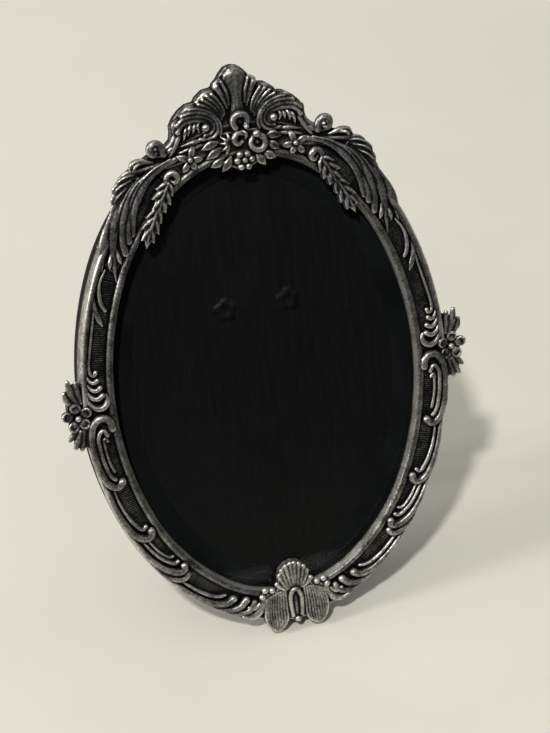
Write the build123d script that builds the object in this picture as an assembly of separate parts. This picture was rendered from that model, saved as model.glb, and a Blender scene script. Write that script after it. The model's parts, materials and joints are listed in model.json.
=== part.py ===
from build123d import *
from math import asin, atan2, cos, degrees, hypot, radians, sin, sqrt
import os

# An oval picture frame: a cast front, a pane of glass and a velvet back that stands on a hinged leg.
# The frame is drawn upright about the middle of its oval: X right, Y back, Z up, the glass seat at Y = 0.
# At the end it leans back and stands on the table at Z = 0. Lengths are millimetres, angles degrees.

# Sight opening, an oval of eight arcs close to an ellipse.
SIGHT_W = 83.0
SIGHT_H = 122.0
END_ARC_SHARE = 1.06
SHOULDER_ARC_SHARE = 1.05
SIDE_ARC_SHARE = 0.96

# Moulding section, from the sight edge out. A rise is a height in front of the glass seat.
BEAD_W = 2.3
CHANNEL_W = 4.2
RIM_W = 3.0
BEAD_RISE = 3.0
BEAD_EDGE_RISE = 2.1
BEAD_TOP_SHARES = (0.28, 0.72)
CHANNEL_RISE = 1.0
RIM_EDGE_RISE = 2.2
RIM_RISE = 3.2
RIM_CHEEK_RISE = 2.2
RIM_SHARES = (0.3, 0.8)
SEAT_W = 3.0
BAND_W = BEAD_W + CHANNEL_W + RIM_W

# Layers behind the glass seat.
FIT_GAP = 0.3
GLASS_T = 1.8
PICTURE_ROOM = 0.5
CLOTH_T = 0.4
BACK_CARD_T = 2.0
BACK_ROOM = 0.1
TURN_IN_W = 5.4
LINING_GAP = 0.2
BACK_FRONT_Y = GLASS_T + PICTURE_ROOM
BACK_CARD_Y = BACK_FRONT_Y + CLOTH_T
BACK_REAR_Y = BACK_CARD_Y + BACK_CARD_T + CLOTH_T
LAND_Y = BACK_REAR_Y + BACK_ROOM

# Ornament: raised forms have flat sides that slope in to a smaller top.
RELIEF_TOP_SHARE = 0.7
WIDEST_SHARE = 0.68
STUD_SIDES = 8
BEAD_SIDES = 6

# Crest: how far it rises over the sight opening, half its width, and the depths of its plate and relief.
CREST_RISE = 23.8
CREST_HALF_W = 19.0
CREST_FRONT_Y = -1.5
CREST_BACK_Y = 1.6
CREST_RELIEF_Y = -2.9
CREST_FOOT_SHARES = ((0.95, 0.08), (0.0, 0.15))
CREST_NOTCH_SHARES = (
    (0.0, 1.0), (0.19, 0.82), (0.32, 0.75), (0.57, 0.65), (0.83, 0.565), (0.96, 0.44), (1.0, 0.25),
)
CREST_BULGE_SHARES = ((0.17, 0.93), (0.28, 0.82), (0.45, 0.735), (0.71, 0.65), (0.93, 0.525), (1.0, 0.35))
# Each flute: X and Z of its root, X and Z of its tip, its root and widest half width.
FLUTE_HALF_W = 1.2
CREST_FLUTE_SHARES = (
    (0.09, 0.58, 0.2, 0.84, 0.5, 0.7),
    (0.16, 0.55, 0.3, 0.79, 0.5, 0.8),
    (0.24, 0.49, 0.38, 0.75, 0.5, 0.6),
    (0.3, 0.47, 0.47, 0.71, 0.5, 0.6),
    (0.37, 0.5, 0.56, 0.65, 0.5, 0.6),
    (0.56, 0.48, 0.73, 0.61, 0.6, 0.95),
    (0.64, 0.42, 0.86, 0.54, 0.6, 1.0),
    (0.66, 0.33, 0.93, 0.41, 0.6, 1.0),
)
PLUME_SHARES = (0.5, 0.98)
PLUME_ROOT_HALF_W = 1.0
PLUME_HALF_W = 2.9
VOLUTE_SHARES = (0.473, 0.385)
VOLUTE_R = 3.3
VOLUTE_EYE_R = 1.1
VOLUTE_EYE_Y = -3.5

# Bouquet under the crest: a leaf plate over the sight edge, three curls and a bunch of berries.
BOUQUET_FRONT_Y = -2.2
BOUQUET_BACK_Y = -0.4
BOUQUET_RELIEF_Y = -3.3
BOUQUET_SHARES = (
    (-0.45, 0.08), (-0.37, -0.02), (-0.25, -0.05), (-0.13, -0.12), (0.0, -0.14), (0.13, -0.12),
    (0.25, -0.05), (0.37, -0.02), (0.44, 0.08), (0.39, 0.2), (0.25, 0.3), (-0.25, 0.3), (-0.42, 0.19),
)
# Each curl: X and Z of its middle, its radius.
CURL_R = 2.7
CURL_SHARES = ((0.0, 0.408, 1.0), (-0.05, 0.21, 0.7), (0.21, 0.147, 1.0))
BERRY_R = 1.0
BERRY_SHARES = (
    (-0.06, 0.05), (0.05, 0.04), (-0.1, -0.02), (0.0, -0.03), (0.1, -0.02), (-0.05, -0.09), (0.05, -0.09),
)

# Shoulder ornament on each side, placed by the heading it faces on the oval and the share across the band.
# Each leaf: heading and share of its root, heading and share of its tip, its root and widest half width.
LEAF_HALF_W = 1.8
LEAF_BACK_Y = -0.4
LEAF_FRONT_Y = -2.9
LEAF_SHARES = (
    (62.0, 0.72, 31.0, 0.24, 0.6, 1.0), (58.0, 0.94, 25.0, 0.34, 0.6, 1.0),
    (54.0, 0.34, 44.0, 0.06, 0.6, 0.8), (51.0, 0.3, 34.5, -0.14, 0.5, 0.7),
)
LOBE_HALF_W = 1.5
LOBE_BACK_Y = 1.6
LOBE_FRONT_Y = -2.4
LOBE_SHARES = (
    (48.0, 0.8, 44.6, 1.42, 0.8, 1.0), (45.0, 0.74, 41.6, 1.34, 0.8, 1.0), (42.0, 0.7, 39.3, 1.2, 0.8, 1.0),
    (64.0, 0.6, 57.8, 1.32, 0.8, 1.0), (57.0, 0.7, 50.0, 1.42, 0.8, 1.0),
)
# Each knob: heading and share of its place, its radius.
KNOB_R = 2.2
KNOB_SHARES = ((60.3, 1.24, 1.0), (52.2, 1.32, 1.0))
FLOWER_PLACE_SHARES = (67.5, 0.45)
FLOWER_POINTS = 5
FLOWER_R = 3.2
FLOWER_WAIST_SHARE = 0.45
FLOWER_EYE_R = 0.9
FLOWER_Y = -3.4

# Side rosette: how far it reaches past the moulding and half its height.
ROSETTE_REACH = 5.3
ROSETTE_HALF_H = 11.0
ROSETTE_FRONT_Y = -0.9
ROSETTE_BACK_Y = 2.4
ROSETTE_RELIEF_Y = -2.4
ROSETTE_MIDDLE_SHARE = 0.18
ROSETTE_PETALS = 5
ROSETTE_PETAL_R = 1.7
ROSETTE_PETAL_REACH = 2.3
ROSETTE_EYE_R = 1.0
ROSETTE_EYE_Y = -3.2
ROSETTE_LEAF_HALF_W = 1.3
ROSETTE_LEAF_SHARES = ((-0.05, 0.3, 0.05, 0.98), (0.2, 0.3, 0.5, 0.96), (0.45, 0.3, 0.8, 0.64))
ROSETTE_OUTLINE_SHARES = (
    (-0.3, 0.75), (0.3, 0.75), (0.62, 0.5), (0.85, 0.3), (0.92, 0.0),
    (0.85, -0.3), (0.62, -0.5), (0.3, -0.75), (-0.3, -0.75),
)

# Base shell: how far it drops under the sight opening, half its width, and its depths.
BASE_DROP = 12.3
BASE_HALF_W = 9.5
BASE_FRONT_Y = -1.6
BASE_BACK_Y = 4.4
BASE_RELIEF_Y = -2.9
BASE_TOP_SHARE = 0.35
BASE_OUTLINE_SHARES = (
    (1.0, 0.62), (0.9, 0.86), (0.8, 0.96), (0.64, 1.0), (0.5, 0.97), (0.36, 0.9), (0.2, 0.86), (0.0, 0.86),
)
BASE_FAN_BACK_Y = -0.4
BASE_FAN_SHARES = (
    (0.0, 0.2, 0.0, -0.68, 0.6, 0.9), (0.12, 0.2, 0.25, -0.58, 0.5, 0.8), (0.22, 0.2, 0.45, -0.38, 0.5, 0.7),
)
BASE_FLUTE_SHARES = (
    (0.86, 0.0, 0.64, 0.98, 0.6, 1.1), (0.66, 0.0, 0.42, 0.9, 0.6, 0.9),
    (1.0, 0.2, 0.87, 0.88, 0.6, 0.9), (0.2, 0.0, 0.12, 0.84, 0.6, 0.9),
)
BASE_BEAD_R = 1.1
BASE_BEAD_SHARES = ((0.74, -0.08), (0.96, -0.1))

# Leg: a velvet strut on a stop hinge, and how far the whole frame leans back on it.
LEAN = 17.0
LEG_OPEN = 32.0
SOLE_TRIM = 0.8
LEG_GAP = 0.35
LEG_CARD_T = 2.0
LEG_TOP_W = 26.0
LEG_FOOT_W = 46.0
LEG_TOP_CORNER_R = 4.0
LEG_ARCH_W = 22.0
LEG_ARCH_H = 5.0
LEG_TOP_GAP = 0.5

# Hinge between the back and the leg.
RIVET_Z = 20.3
RIVET_EDGE_W = 3.35
RIVET_TO_PIN = 6.0
LEAF_PLATE_T = 0.6
LEAF_PLATE_W = 24.0
LEAF_PLATE_H = 6.0
LEAF_CORNER_R = 1.5
LEAF_LENGTH = 15.0
LEAF_MOVING_W = 17.0
KNUCKLE_GAP = 0.05
KNUCKLE_SIDE_GAP = 0.3
KNUCKLE_HALF_W = 4.8
TAIL_LENGTH = 6.5
STOP_GAP = 0.05
PIN_R = 0.9
PIN_FIT = 0.04
PIN_HEAD_R = 1.5
PIN_HEAD_T = 0.6
EYELET_R = 1.5
EYELET_BORE_R = 0.9
EYELET_HEAD_R = 2.5
EYELET_HEAD_T = 0.5
EYELET_FIT = 0.02
PETAL_COUNT = 5
PETAL_R = 3.45
PETAL_WAIST_SHARE = 0.62
PETAL_T = 0.25
PETAL_ROOM = 0.1
LEG_RIVET_R = 1.1
LEG_RIVET_HEAD_R = 2.2
LEG_RIVET_HEAD_T = 0.5
LEG_RIVET_HALF_GAP = 5.0
LEG_RIVET_DROP = 10.0
LEG_RIVET_TAIL_T = 0.25

# Turn buttons on the back of the casting.
BUTTON_HEADINGS = (40.0, 140.0, 220.0, 320.0)
BUTTON_NAMES = ("upper_right", "upper_left", "lower_left", "lower_right")
BUTTON_OUT = 6.3
BUTTON_REACH = 8.5
BUTTON_R = 2.9
BUTTON_TIP_R = 2.2
BUTTON_T = 0.8
BUTTON_GAP = 0.05
BUTTON_PIN_R = 1.1
BUTTON_PIN_FIT = 0.05
BUTTON_PIN_DEPTH = 3.5
BUTTON_HEAD_R = 2.1
BUTTON_HEAD_T = 0.8

# Values that follow from the driving dimensions.
LEG_T = LEG_CARD_T + 2 * CLOTH_T
RIVET_HALF_GAP = LEAF_PLATE_W / 2 - RIVET_EDGE_W
KNUCKLE_R = (LEG_GAP + LEG_T + LEAF_PLATE_T - KNUCKLE_GAP) / 2
PIN_Y = BACK_REAR_Y + KNUCKLE_GAP + KNUCKLE_R
PIN_Z = RIVET_Z - RIVET_TO_PIN
SOLE_Z = -SIGHT_H / 2 - BASE_DROP
STAND_RISE = -(SOLE_Z * cos(radians(LEAN)) - BASE_BACK_Y * sin(radians(LEAN))) - SOLE_TRIM
TABLE_ROOM = 2 * SIGHT_H


def oval_arcs():
    """The eight arcs of the sight oval in turn: centre X and Z, radius, first and last heading."""
    half_w = SIGHT_W / 2
    half_h = SIGHT_H / 2
    end_r = END_ARC_SHARE * half_w**2 / half_h
    side_r = SIDE_ARC_SHARE * half_h**2 / half_w
    mid_r = SHOULDER_ARC_SHARE * sqrt(half_w * half_h)
    end_z = half_h - end_r
    side_x = half_w - side_r
    # The shoulder arc touches both others from inside, so its centre is known by two distances.
    span = hypot(side_x, end_z)
    from_end = mid_r - end_r
    from_side = side_r - mid_r
    along = (from_end**2 - from_side**2 + span**2) / (2 * span)
    aside = sqrt(from_end**2 - along**2)
    mid_x = (side_x * along + end_z * aside) / span
    mid_z = end_z - (end_z * along - side_x * aside) / span
    low = degrees(atan2(mid_z, mid_x - side_x))
    high = degrees(atan2(end_z - mid_z, -mid_x))
    return (
        (side_x, 0, side_r, -low, low),
        (mid_x, mid_z, mid_r, low, high),
        (0, end_z, end_r, high, 180 - high),
        (-mid_x, mid_z, mid_r, 180 - high, 180 - low),
        (-side_x, 0, side_r, 180 - low, 180 + low),
        (-mid_x, -mid_z, mid_r, 180 + low, 180 + high),
        (0, -end_z, end_r, 180 + high, 360 - high),
        (mid_x, -mid_z, mid_r, 360 - high, 360 - low),
    )


def oval_point(heading, out):
    """The point of the oval that faces a heading, pushed out along it: X and Z."""
    arcs = oval_arcs()
    heading = (heading - arcs[0][3]) % 360 + arcs[0][3]
    for x, z, radius, first, last in arcs:
        if first <= heading <= last:
            turn = radians(heading)
            return x + (radius + out) * cos(turn), z + (radius + out) * sin(turn)


def band_point(heading, share):
    """A point on the moulding by its heading and its share of the way across the band."""
    return oval_point(heading, share * BAND_W)


def slab(face, front, back):
    """A face drawn in X and Z, given a thickness between two depths."""
    return extrude(Plane.XZ.offset(-front) * face, amount=front - back)


def oval_slab(out, front, back):
    """A flat oval plate: the sight oval pushed out by a distance."""
    edges = []
    for x, z, radius, first, last in oval_arcs():
        edges.append(CenterArc((x, z), radius + out, first, last - first))
    return slab(make_face(edges), front, back)


def oval_ring(section):
    """A section of distance out and depth, turned round every arc of the sight oval."""
    sectors = []
    for x, z, radius, first, last in oval_arcs():
        c = cos(radians(first))
        s = sin(radians(first))
        start = Plane(origin=(x + radius * c, 0, z + radius * s), x_dir=(c, 0, s), z_dir=(-s, 0, c))
        sectors.append(revolve(start * section, Axis((x, 0, z), (0, -1, 0)), last - first))
    return sectors[0].fuse(*sectors[1:]).clean()


def moulding_section():
    """Bevelled bead, sunk channel, bevelled rim, and the stepped seat behind them."""
    rim = BEAD_W + CHANNEL_W
    first, last = [share * BEAD_W for share in BEAD_TOP_SHARES]
    crest, cheek = [rim + share * RIM_W for share in RIM_SHARES]
    line = Polyline((0, 0), (0, -BEAD_EDGE_RISE), (first, -BEAD_RISE), (last, -BEAD_RISE))
    line += Polyline((last, -BEAD_RISE), (BEAD_W, -BEAD_EDGE_RISE), (BEAD_W, -CHANNEL_RISE))
    line += Polyline((BEAD_W, -CHANNEL_RISE), (rim, -CHANNEL_RISE), (rim, -RIM_EDGE_RISE))
    line += Polyline((rim, -RIM_EDGE_RISE), (crest, -RIM_RISE), (cheek, -RIM_CHEEK_RISE), (BAND_W, 0))
    line += Polyline((BAND_W, 0), (BAND_W, LAND_Y), (SEAT_W, LAND_Y), (SEAT_W, 0), (0, 0))
    return make_face(line)


def raised(corners, back, front):
    """An outline in X and Z, raised from a back depth to a front depth with flat sides that slope in."""
    middle_x = sum(x for x, z in corners) / len(corners)
    middle_z = sum(z for x, z in corners) / len(corners)
    base = [(x, back, z) for x, z in corners]
    top = []
    for x, z in corners:
        top_x = middle_x + RELIEF_TOP_SHARE * (x - middle_x)
        top_z = middle_z + RELIEF_TOP_SHARE * (z - middle_z)
        top.append((top_x, front, top_z))
    faces = [make_face(Polyline(*base, close=True)), make_face(Polyline(*top, close=True))]
    for i, j in zip(range(len(corners)), range(-1, len(corners) - 1)):
        faces.append(make_face(Polyline(base[j], base[i], top[i], top[j], close=True)))
    return Solid(Shell(faces))


def kite(root, tip, root_half, wide_half):
    """Corners of a flute or leaf: narrow root, widest past the middle, pointed tip."""
    length = hypot(tip[0] - root[0], tip[1] - root[1])
    c = (tip[0] - root[0]) / length
    s = (tip[1] - root[1]) / length
    wide = WIDEST_SHARE * length
    half = ((0, root_half), (wide, wide_half), (length, 0), (wide, -wide_half), (0, -root_half))
    return [(root[0] + along * c - aside * s, root[1] + along * s + aside * c) for along, aside in half]


def stud(place, radius, back, front, sides=STUD_SIDES):
    """A boss with flat sides."""
    corners = []
    for i in range(sides):
        turn = radians(360 * i / sides)
        corners.append((place[0] + radius * cos(turn), place[1] + radius * sin(turn)))
    return raised(corners, back, front)


def both_sides(solids):
    """The solids and their mirror images on the other side of the frame."""
    return solids + [mirror(solid, Plane.YZ) for solid in solids]


def crest_point(x_share, z_share):
    """A place on the crest by shares of its half width and its rise."""
    return x_share * CREST_HALF_W, SIGHT_H / 2 + z_share * CREST_RISE


def crest_plate():
    """The lobed plate of the shell, drawn for one half and mirrored."""
    notches = [crest_point(*share) for share in CREST_NOTCH_SHARES]
    bulges = [crest_point(*share) for share in CREST_BULGE_SHARES]
    foot = [crest_point(*share) for share in CREST_FOOT_SHARES]
    line = Polyline(notches[-1], *foot, notches[0])
    for first, middle, last in zip(notches[:-1], bulges, notches[1:]):
        line += ThreePointArc(first, middle, last)
    half = slab(make_face(line), CREST_FRONT_Y, CREST_BACK_Y)
    return both_sides([half])


def crest_relief():
    """Plume, flutes and volutes of the shell."""
    ends = crest_point(0, PLUME_SHARES[0]), crest_point(0, PLUME_SHARES[1])
    plume = raised(kite(*ends, PLUME_ROOT_HALF_W, PLUME_HALF_W), CREST_BACK_Y, CREST_RELIEF_Y)
    solids = []
    for x0, z0, x1, z1, root, wide in CREST_FLUTE_SHARES:
        ends = crest_point(x0, z0), crest_point(x1, z1)
        flute = kite(*ends, root * FLUTE_HALF_W, wide * FLUTE_HALF_W)
        solids.append(raised(flute, CREST_FRONT_Y, CREST_RELIEF_Y))
    middle = crest_point(*VOLUTE_SHARES)
    solids.append(stud(middle, VOLUTE_R, CREST_FRONT_Y, CREST_RELIEF_Y))
    solids.append(stud(middle, VOLUTE_EYE_R, CREST_RELIEF_Y, VOLUTE_EYE_Y, BEAD_SIDES))
    return [plume] + both_sides(solids)


def bouquet():
    """Leaf plate, curls and berries at the foot of the crest."""
    outline = Polyline(*[crest_point(*share) for share in BOUQUET_SHARES], close=True)
    solids = [slab(make_face(outline), BOUQUET_FRONT_Y, BOUQUET_BACK_Y)]
    for x, z, size in CURL_SHARES:
        solids.append(stud(crest_point(x, z), size * CURL_R, BOUQUET_BACK_Y, BOUQUET_RELIEF_Y))
    for share in BERRY_SHARES:
        solids.append(stud(crest_point(*share), BERRY_R, BOUQUET_FRONT_Y, BOUQUET_RELIEF_Y, BEAD_SIDES))
    return solids


def star(middle, points, radius, waist_share):
    """Outline of a flower with pointed petals."""
    corners = []
    for i in range(2 * points):
        turn = radians(90 + 180 * i / points)
        reach = radius * (waist_share if i % 2 else 1)
        corners.append((middle[0] + reach * cos(turn), middle[1] + reach * sin(turn)))
    return make_face(Polyline(*corners, close=True))


def shoulder_relief():
    """Leaves, lobes, knobs and a flower on each shoulder of the moulding."""
    solids = []
    for h0, s0, h1, s1, root, wide in LEAF_SHARES:
        leaf = kite(band_point(h0, s0), band_point(h1, s1), root * LEAF_HALF_W, wide * LEAF_HALF_W)
        solids.append(raised(leaf, LEAF_BACK_Y, LEAF_FRONT_Y))
    for h0, s0, h1, s1, root, wide in LOBE_SHARES:
        lobe = kite(band_point(h0, s0), band_point(h1, s1), root * LOBE_HALF_W, wide * LOBE_HALF_W)
        solids.append(raised(lobe, LOBE_BACK_Y, LOBE_FRONT_Y))
    for heading, share, size in KNOB_SHARES:
        solids.append(stud(band_point(heading, share), size * KNOB_R, LOBE_BACK_Y, LEAF_FRONT_Y))
    place = band_point(*FLOWER_PLACE_SHARES)
    petals = star(place, FLOWER_POINTS, FLOWER_R, FLOWER_WAIST_SHARE)
    solids.append(slab(petals, LEAF_FRONT_Y, LEAF_BACK_Y))
    solids.append(stud(place, FLOWER_EYE_R, LEAF_FRONT_Y, FLOWER_Y, BEAD_SIDES))
    return both_sides(solids)


def side_point(x_share, z_share):
    """A place on a side rosette by shares of its reach and half height."""
    return SIGHT_W / 2 + BAND_W + x_share * ROSETTE_REACH, z_share * ROSETTE_HALF_H


def rosettes():
    """Flower and leaves on each side."""
    outline = Polyline(*[side_point(*share) for share in ROSETTE_OUTLINE_SHARES], close=True)
    solids = [slab(make_face(outline), ROSETTE_FRONT_Y, ROSETTE_BACK_Y)]
    middle = side_point(ROSETTE_MIDDLE_SHARE, 0)
    for i in range(ROSETTE_PETALS):
        turn = radians(90 + 360 * i / ROSETTE_PETALS)
        petal = (middle[0] + ROSETTE_PETAL_REACH * cos(turn), middle[1] + ROSETTE_PETAL_REACH * sin(turn))
        solids.append(stud(petal, ROSETTE_PETAL_R, ROSETTE_BACK_Y, ROSETTE_RELIEF_Y, BEAD_SIDES))
    solids.append(stud(middle, ROSETTE_EYE_R, ROSETTE_FRONT_Y, ROSETTE_EYE_Y, BEAD_SIDES))
    for x0, z0, x1, z1 in ROSETTE_LEAF_SHARES:
        for way in (1, -1):
            root = side_point(x0, way * z0)
            tip = side_point(x1, way * z1)
            leaf = kite(root, tip, ROSETTE_LEAF_HALF_W / 2, ROSETTE_LEAF_HALF_W)
            solids.append(raised(leaf, ROSETTE_BACK_Y, ROSETTE_RELIEF_Y))
    return both_sides(solids)


def base_point(x_share, z_share):
    """A place on the base shell by shares of its half width and its drop."""
    return x_share * BASE_HALF_W, -SIGHT_H / 2 - z_share * BASE_DROP


def base_shell():
    """Lobed plate that the frame stands on, with a fan over the sight edge, flutes and beads."""
    points = [base_point(*share) for share in BASE_OUTLINE_SHARES]
    top = [base_point(0, BASE_TOP_SHARE), base_point(BASE_OUTLINE_SHARES[0][0], BASE_TOP_SHARE)]
    outline = Polyline(*points, *top, close=True)
    solids = [slab(make_face(outline), BASE_FRONT_Y, BASE_BACK_Y)]
    for rows, back in ((BASE_FAN_SHARES, BASE_FAN_BACK_Y), (BASE_FLUTE_SHARES, BASE_FRONT_Y)):
        for x0, z0, x1, z1, root, wide in rows:
            flute = kite(base_point(x0, z0), base_point(x1, z1), root * FLUTE_HALF_W, wide * FLUTE_HALF_W)
            solids.append(raised(flute, back, BASE_RELIEF_Y))
    for share in BASE_BEAD_SHARES:
        solids.append(stud(base_point(*share), BASE_BEAD_R, BASE_FAN_BACK_Y, BASE_RELIEF_Y, BEAD_SIDES))
    return both_sides(solids)


def button_place(heading):
    """Pivot of a turn button on the back land."""
    return oval_point(heading, BUTTON_OUT)


def frame_casting():
    """The whole cast front: moulding and ornament in one piece, with blind holes for the button rivets."""
    body = oval_ring(moulding_section())
    for ornament in (crest_plate, crest_relief, bouquet, shoulder_relief, rosettes, base_shell):
        body = body.fuse(*ornament())
    for heading in BUTTON_HEADINGS:
        x, z = button_place(heading)
        hole = Pos(x, z) * Circle(BUTTON_PIN_R + EYELET_FIT)
        body -= slab(hole, LAND_Y - BUTTON_PIN_DEPTH, LAND_Y)
    return body


def glass_pane():
    """Flat oval pane against the seat."""
    return oval_slab(SEAT_W - FIT_GAP, 0, GLASS_T)


def rivet_places():
    """X and Z of the two eyelets that hold the hinge to the back."""
    return (-RIVET_HALF_GAP, RIVET_Z), (RIVET_HALF_GAP, RIVET_Z)


def rivet_holes(radius, front, back):
    """Two round holes for the eyelets between two depths."""
    return [slab(Pos(x, z) * Circle(radius), front, back) for x, z in rivet_places()]


def back_core():
    """Card oval inside the velvet."""
    body = oval_slab(SEAT_W - FIT_GAP - CLOTH_T, BACK_CARD_Y, BACK_CARD_Y + BACK_CARD_T)
    for hole in rivet_holes(EYELET_R + EYELET_FIT, BACK_CARD_Y, BACK_CARD_Y + BACK_CARD_T):
        body -= hole
    return body


def back_cover():
    """Velvet over the back and edge of the card, turned in round the front."""
    body = oval_slab(SEAT_W - FIT_GAP, BACK_FRONT_Y, BACK_REAR_Y)
    body -= oval_slab(SEAT_W - FIT_GAP - CLOTH_T, BACK_CARD_Y, BACK_CARD_Y + BACK_CARD_T)
    body -= oval_slab(-TURN_IN_W, BACK_FRONT_Y, BACK_CARD_Y)
    for hole in rivet_holes(EYELET_R + EYELET_FIT, BACK_CARD_Y, BACK_REAR_Y):
        body -= hole
    return body


def back_lining():
    """Black paper oval, raised over the two eyelets."""
    body = oval_slab(-TURN_IN_W - LINING_GAP, BACK_FRONT_Y, BACK_CARD_Y)
    inner = PETAL_R + PETAL_ROOM
    for place in rivet_places():
        bump = star(place, PETAL_COUNT, inner + CLOTH_T, PETAL_WAIST_SHARE)
        room = star(place, PETAL_COUNT, inner, PETAL_WAIST_SHARE)
        body += slab(bump, BACK_FRONT_Y - PETAL_ROOM, BACK_CARD_Y)
        body -= slab(room, BACK_CARD_Y - PETAL_T - PETAL_ROOM, BACK_CARD_Y)
    return body


def hinge_eyelets():
    """Two eyelets: round heads behind, hollow shanks, spread petals in front."""
    solids = []
    leaf_rear = BACK_REAR_Y + LEAF_PLATE_T
    for x, z in rivet_places():
        place = Pos(x, z)
        body = slab(place * Circle(EYELET_R), BACK_CARD_Y, leaf_rear)
        body += slab(place * Circle(EYELET_HEAD_R), leaf_rear, leaf_rear + EYELET_HEAD_T)
        petals = star((x, z), PETAL_COUNT, PETAL_R, PETAL_WAIST_SHARE)
        body += slab(petals, BACK_CARD_Y - PETAL_T, BACK_CARD_Y)
        body -= slab(place * Circle(EYELET_BORE_R), BACK_CARD_Y - PETAL_T, leaf_rear + EYELET_HEAD_T)
        solids.append(body)
    return Compound(children=solids)


def knuckle(first, last):
    """Rolled hinge tube between two places along X."""
    return Pos((first + last) / 2, PIN_Y, PIN_Z) * Rot(0, 90, 0) * Cylinder(KNUCKLE_R, last - first)


def pin_hole():
    """Bore of every knuckle."""
    return Pos(0, PIN_Y, PIN_Z) * Rot(0, 90, 0) * Cylinder(PIN_R + PIN_FIT, LEAF_PLATE_W)


def hinge_fixed_leaf():
    """Plate on the back with a rolled knuckle at each side of the moving one."""
    low = PIN_Z + KNUCKLE_R + LEG_TOP_GAP
    high = RIVET_Z + LEAF_PLATE_H
    plate = Pos(0, (low + high) / 2) * RectangleRounded(LEAF_PLATE_W, high - low, LEAF_CORNER_R)
    body = slab(plate, BACK_REAR_Y, BACK_REAR_Y + LEAF_PLATE_T)
    inner = KNUCKLE_HALF_W + KNUCKLE_SIDE_GAP
    outer = LEAF_PLATE_W / 2
    for side in (-1, 1):
        first, last = sorted((side * inner, side * outer))
        arm = Pos((first + last) / 2, (PIN_Z + RIVET_Z) / 2) * Rectangle(last - first, RIVET_Z - PIN_Z)
        body += slab(arm, BACK_REAR_Y, BACK_REAR_Y + LEAF_PLATE_T)
        body += knuckle(first, last)
    body -= pin_hole()
    for hole in rivet_holes(EYELET_R + EYELET_FIT, BACK_REAR_Y, BACK_REAR_Y + LEAF_PLATE_T):
        body -= hole
    return body


def hinge_pin():
    """Pin through all the knuckles, with a flat head at each end."""
    turn = Pos(0, PIN_Y, PIN_Z) * Rot(0, 90, 0)
    body = turn * Cylinder(PIN_R, LEAF_PLATE_W)
    for side in (-1, 1):
        body += turn * Pos(0, 0, side * (LEAF_PLATE_W + PIN_HEAD_T) / 2) * Cylinder(PIN_HEAD_R, PIN_HEAD_T)
    return body


def open_leg(shape):
    """Turns a piece of the leg from folded flat to open on its stop."""
    return Pos(0, PIN_Y, PIN_Z) * Rot(LEG_OPEN, 0, 0) * Pos(0, -PIN_Y, -PIN_Z) * shape


def stand(shape):
    """Leans a piece back and sets it on the table."""
    return Pos(0, 0, STAND_RISE) * Rot(-LEAN, 0, 0) * shape


def below_table(depth):
    """The space under the table, or under a level above it."""
    return Pos(0, 0, depth - TABLE_ROOM / 2) * Box(TABLE_ROOM, TABLE_ROOM, TABLE_ROOM)


def leg_rivet_places():
    """X and Z of the rivets through the folded leg."""
    z = PIN_Z - LEG_RIVET_DROP
    return (-LEG_RIVET_HALF_GAP, z), (LEG_RIVET_HALF_GAP, z)


def leg_slab(inset, front, back):
    """Outline of the strut, drawn folded: narrow top, wide foot with an arch between two toes."""
    top = PIN_Z - KNUCKLE_R - LEG_TOP_GAP - inset
    foot = SOLE_Z - LEG_ARCH_H
    top_half = LEG_TOP_W / 2 - inset
    foot_half = LEG_FOOT_W / 2 - inset
    sides = Polyline((-top_half, top), (top_half, top), (foot_half, foot), (-foot_half, foot), close=True)
    body = slab(make_face(sides), front, back)
    corners = body.edges().filter_by(Axis.Y).sort_by(Axis.Z)[-2:]
    return fillet(corners, LEG_TOP_CORNER_R - inset)


def leg_arch(inset):
    """Space under the arch of the foot, in table coordinates."""
    radius = (LEG_ARCH_W**2 / 4 + LEG_ARCH_H**2) / (2 * LEG_ARCH_H)
    turn = Rot(90, 0, 0)
    return Pos(0, 0, LEG_ARCH_H - radius) * turn * Cylinder(radius + inset, TABLE_ROOM)


def leg_solid(inset, front, back):
    """The strut, opened, stood up and trimmed to the table."""
    body = stand(open_leg(leg_slab(inset, front, back)))
    body -= leg_arch(inset)
    return body - below_table(inset)


def leg_holes(front, back):
    """Rivet holes through the leg, opened and stood up with it."""
    holes = [slab(Pos(x, z) * Circle(LEG_RIVET_R + EYELET_FIT), front, back) for x, z in leg_rivet_places()]
    return [stand(open_leg(hole)) for hole in holes]


def leg_core():
    """Card inside the leg."""
    front = BACK_REAR_Y + LEG_GAP + CLOTH_T
    body = leg_solid(CLOTH_T, front, front + LEG_CARD_T)
    for hole in leg_holes(front, front + LEG_CARD_T):
        body -= hole
    return body


def leg_cover():
    """Velvet all round the card of the leg."""
    front = BACK_REAR_Y + LEG_GAP
    body = leg_solid(0, front, front + LEG_T)
    body -= leg_solid(CLOTH_T, front + CLOTH_T, front + CLOTH_T + LEG_CARD_T)
    for hole in leg_holes(front, front + LEG_T):
        body -= hole
    return body


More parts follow.
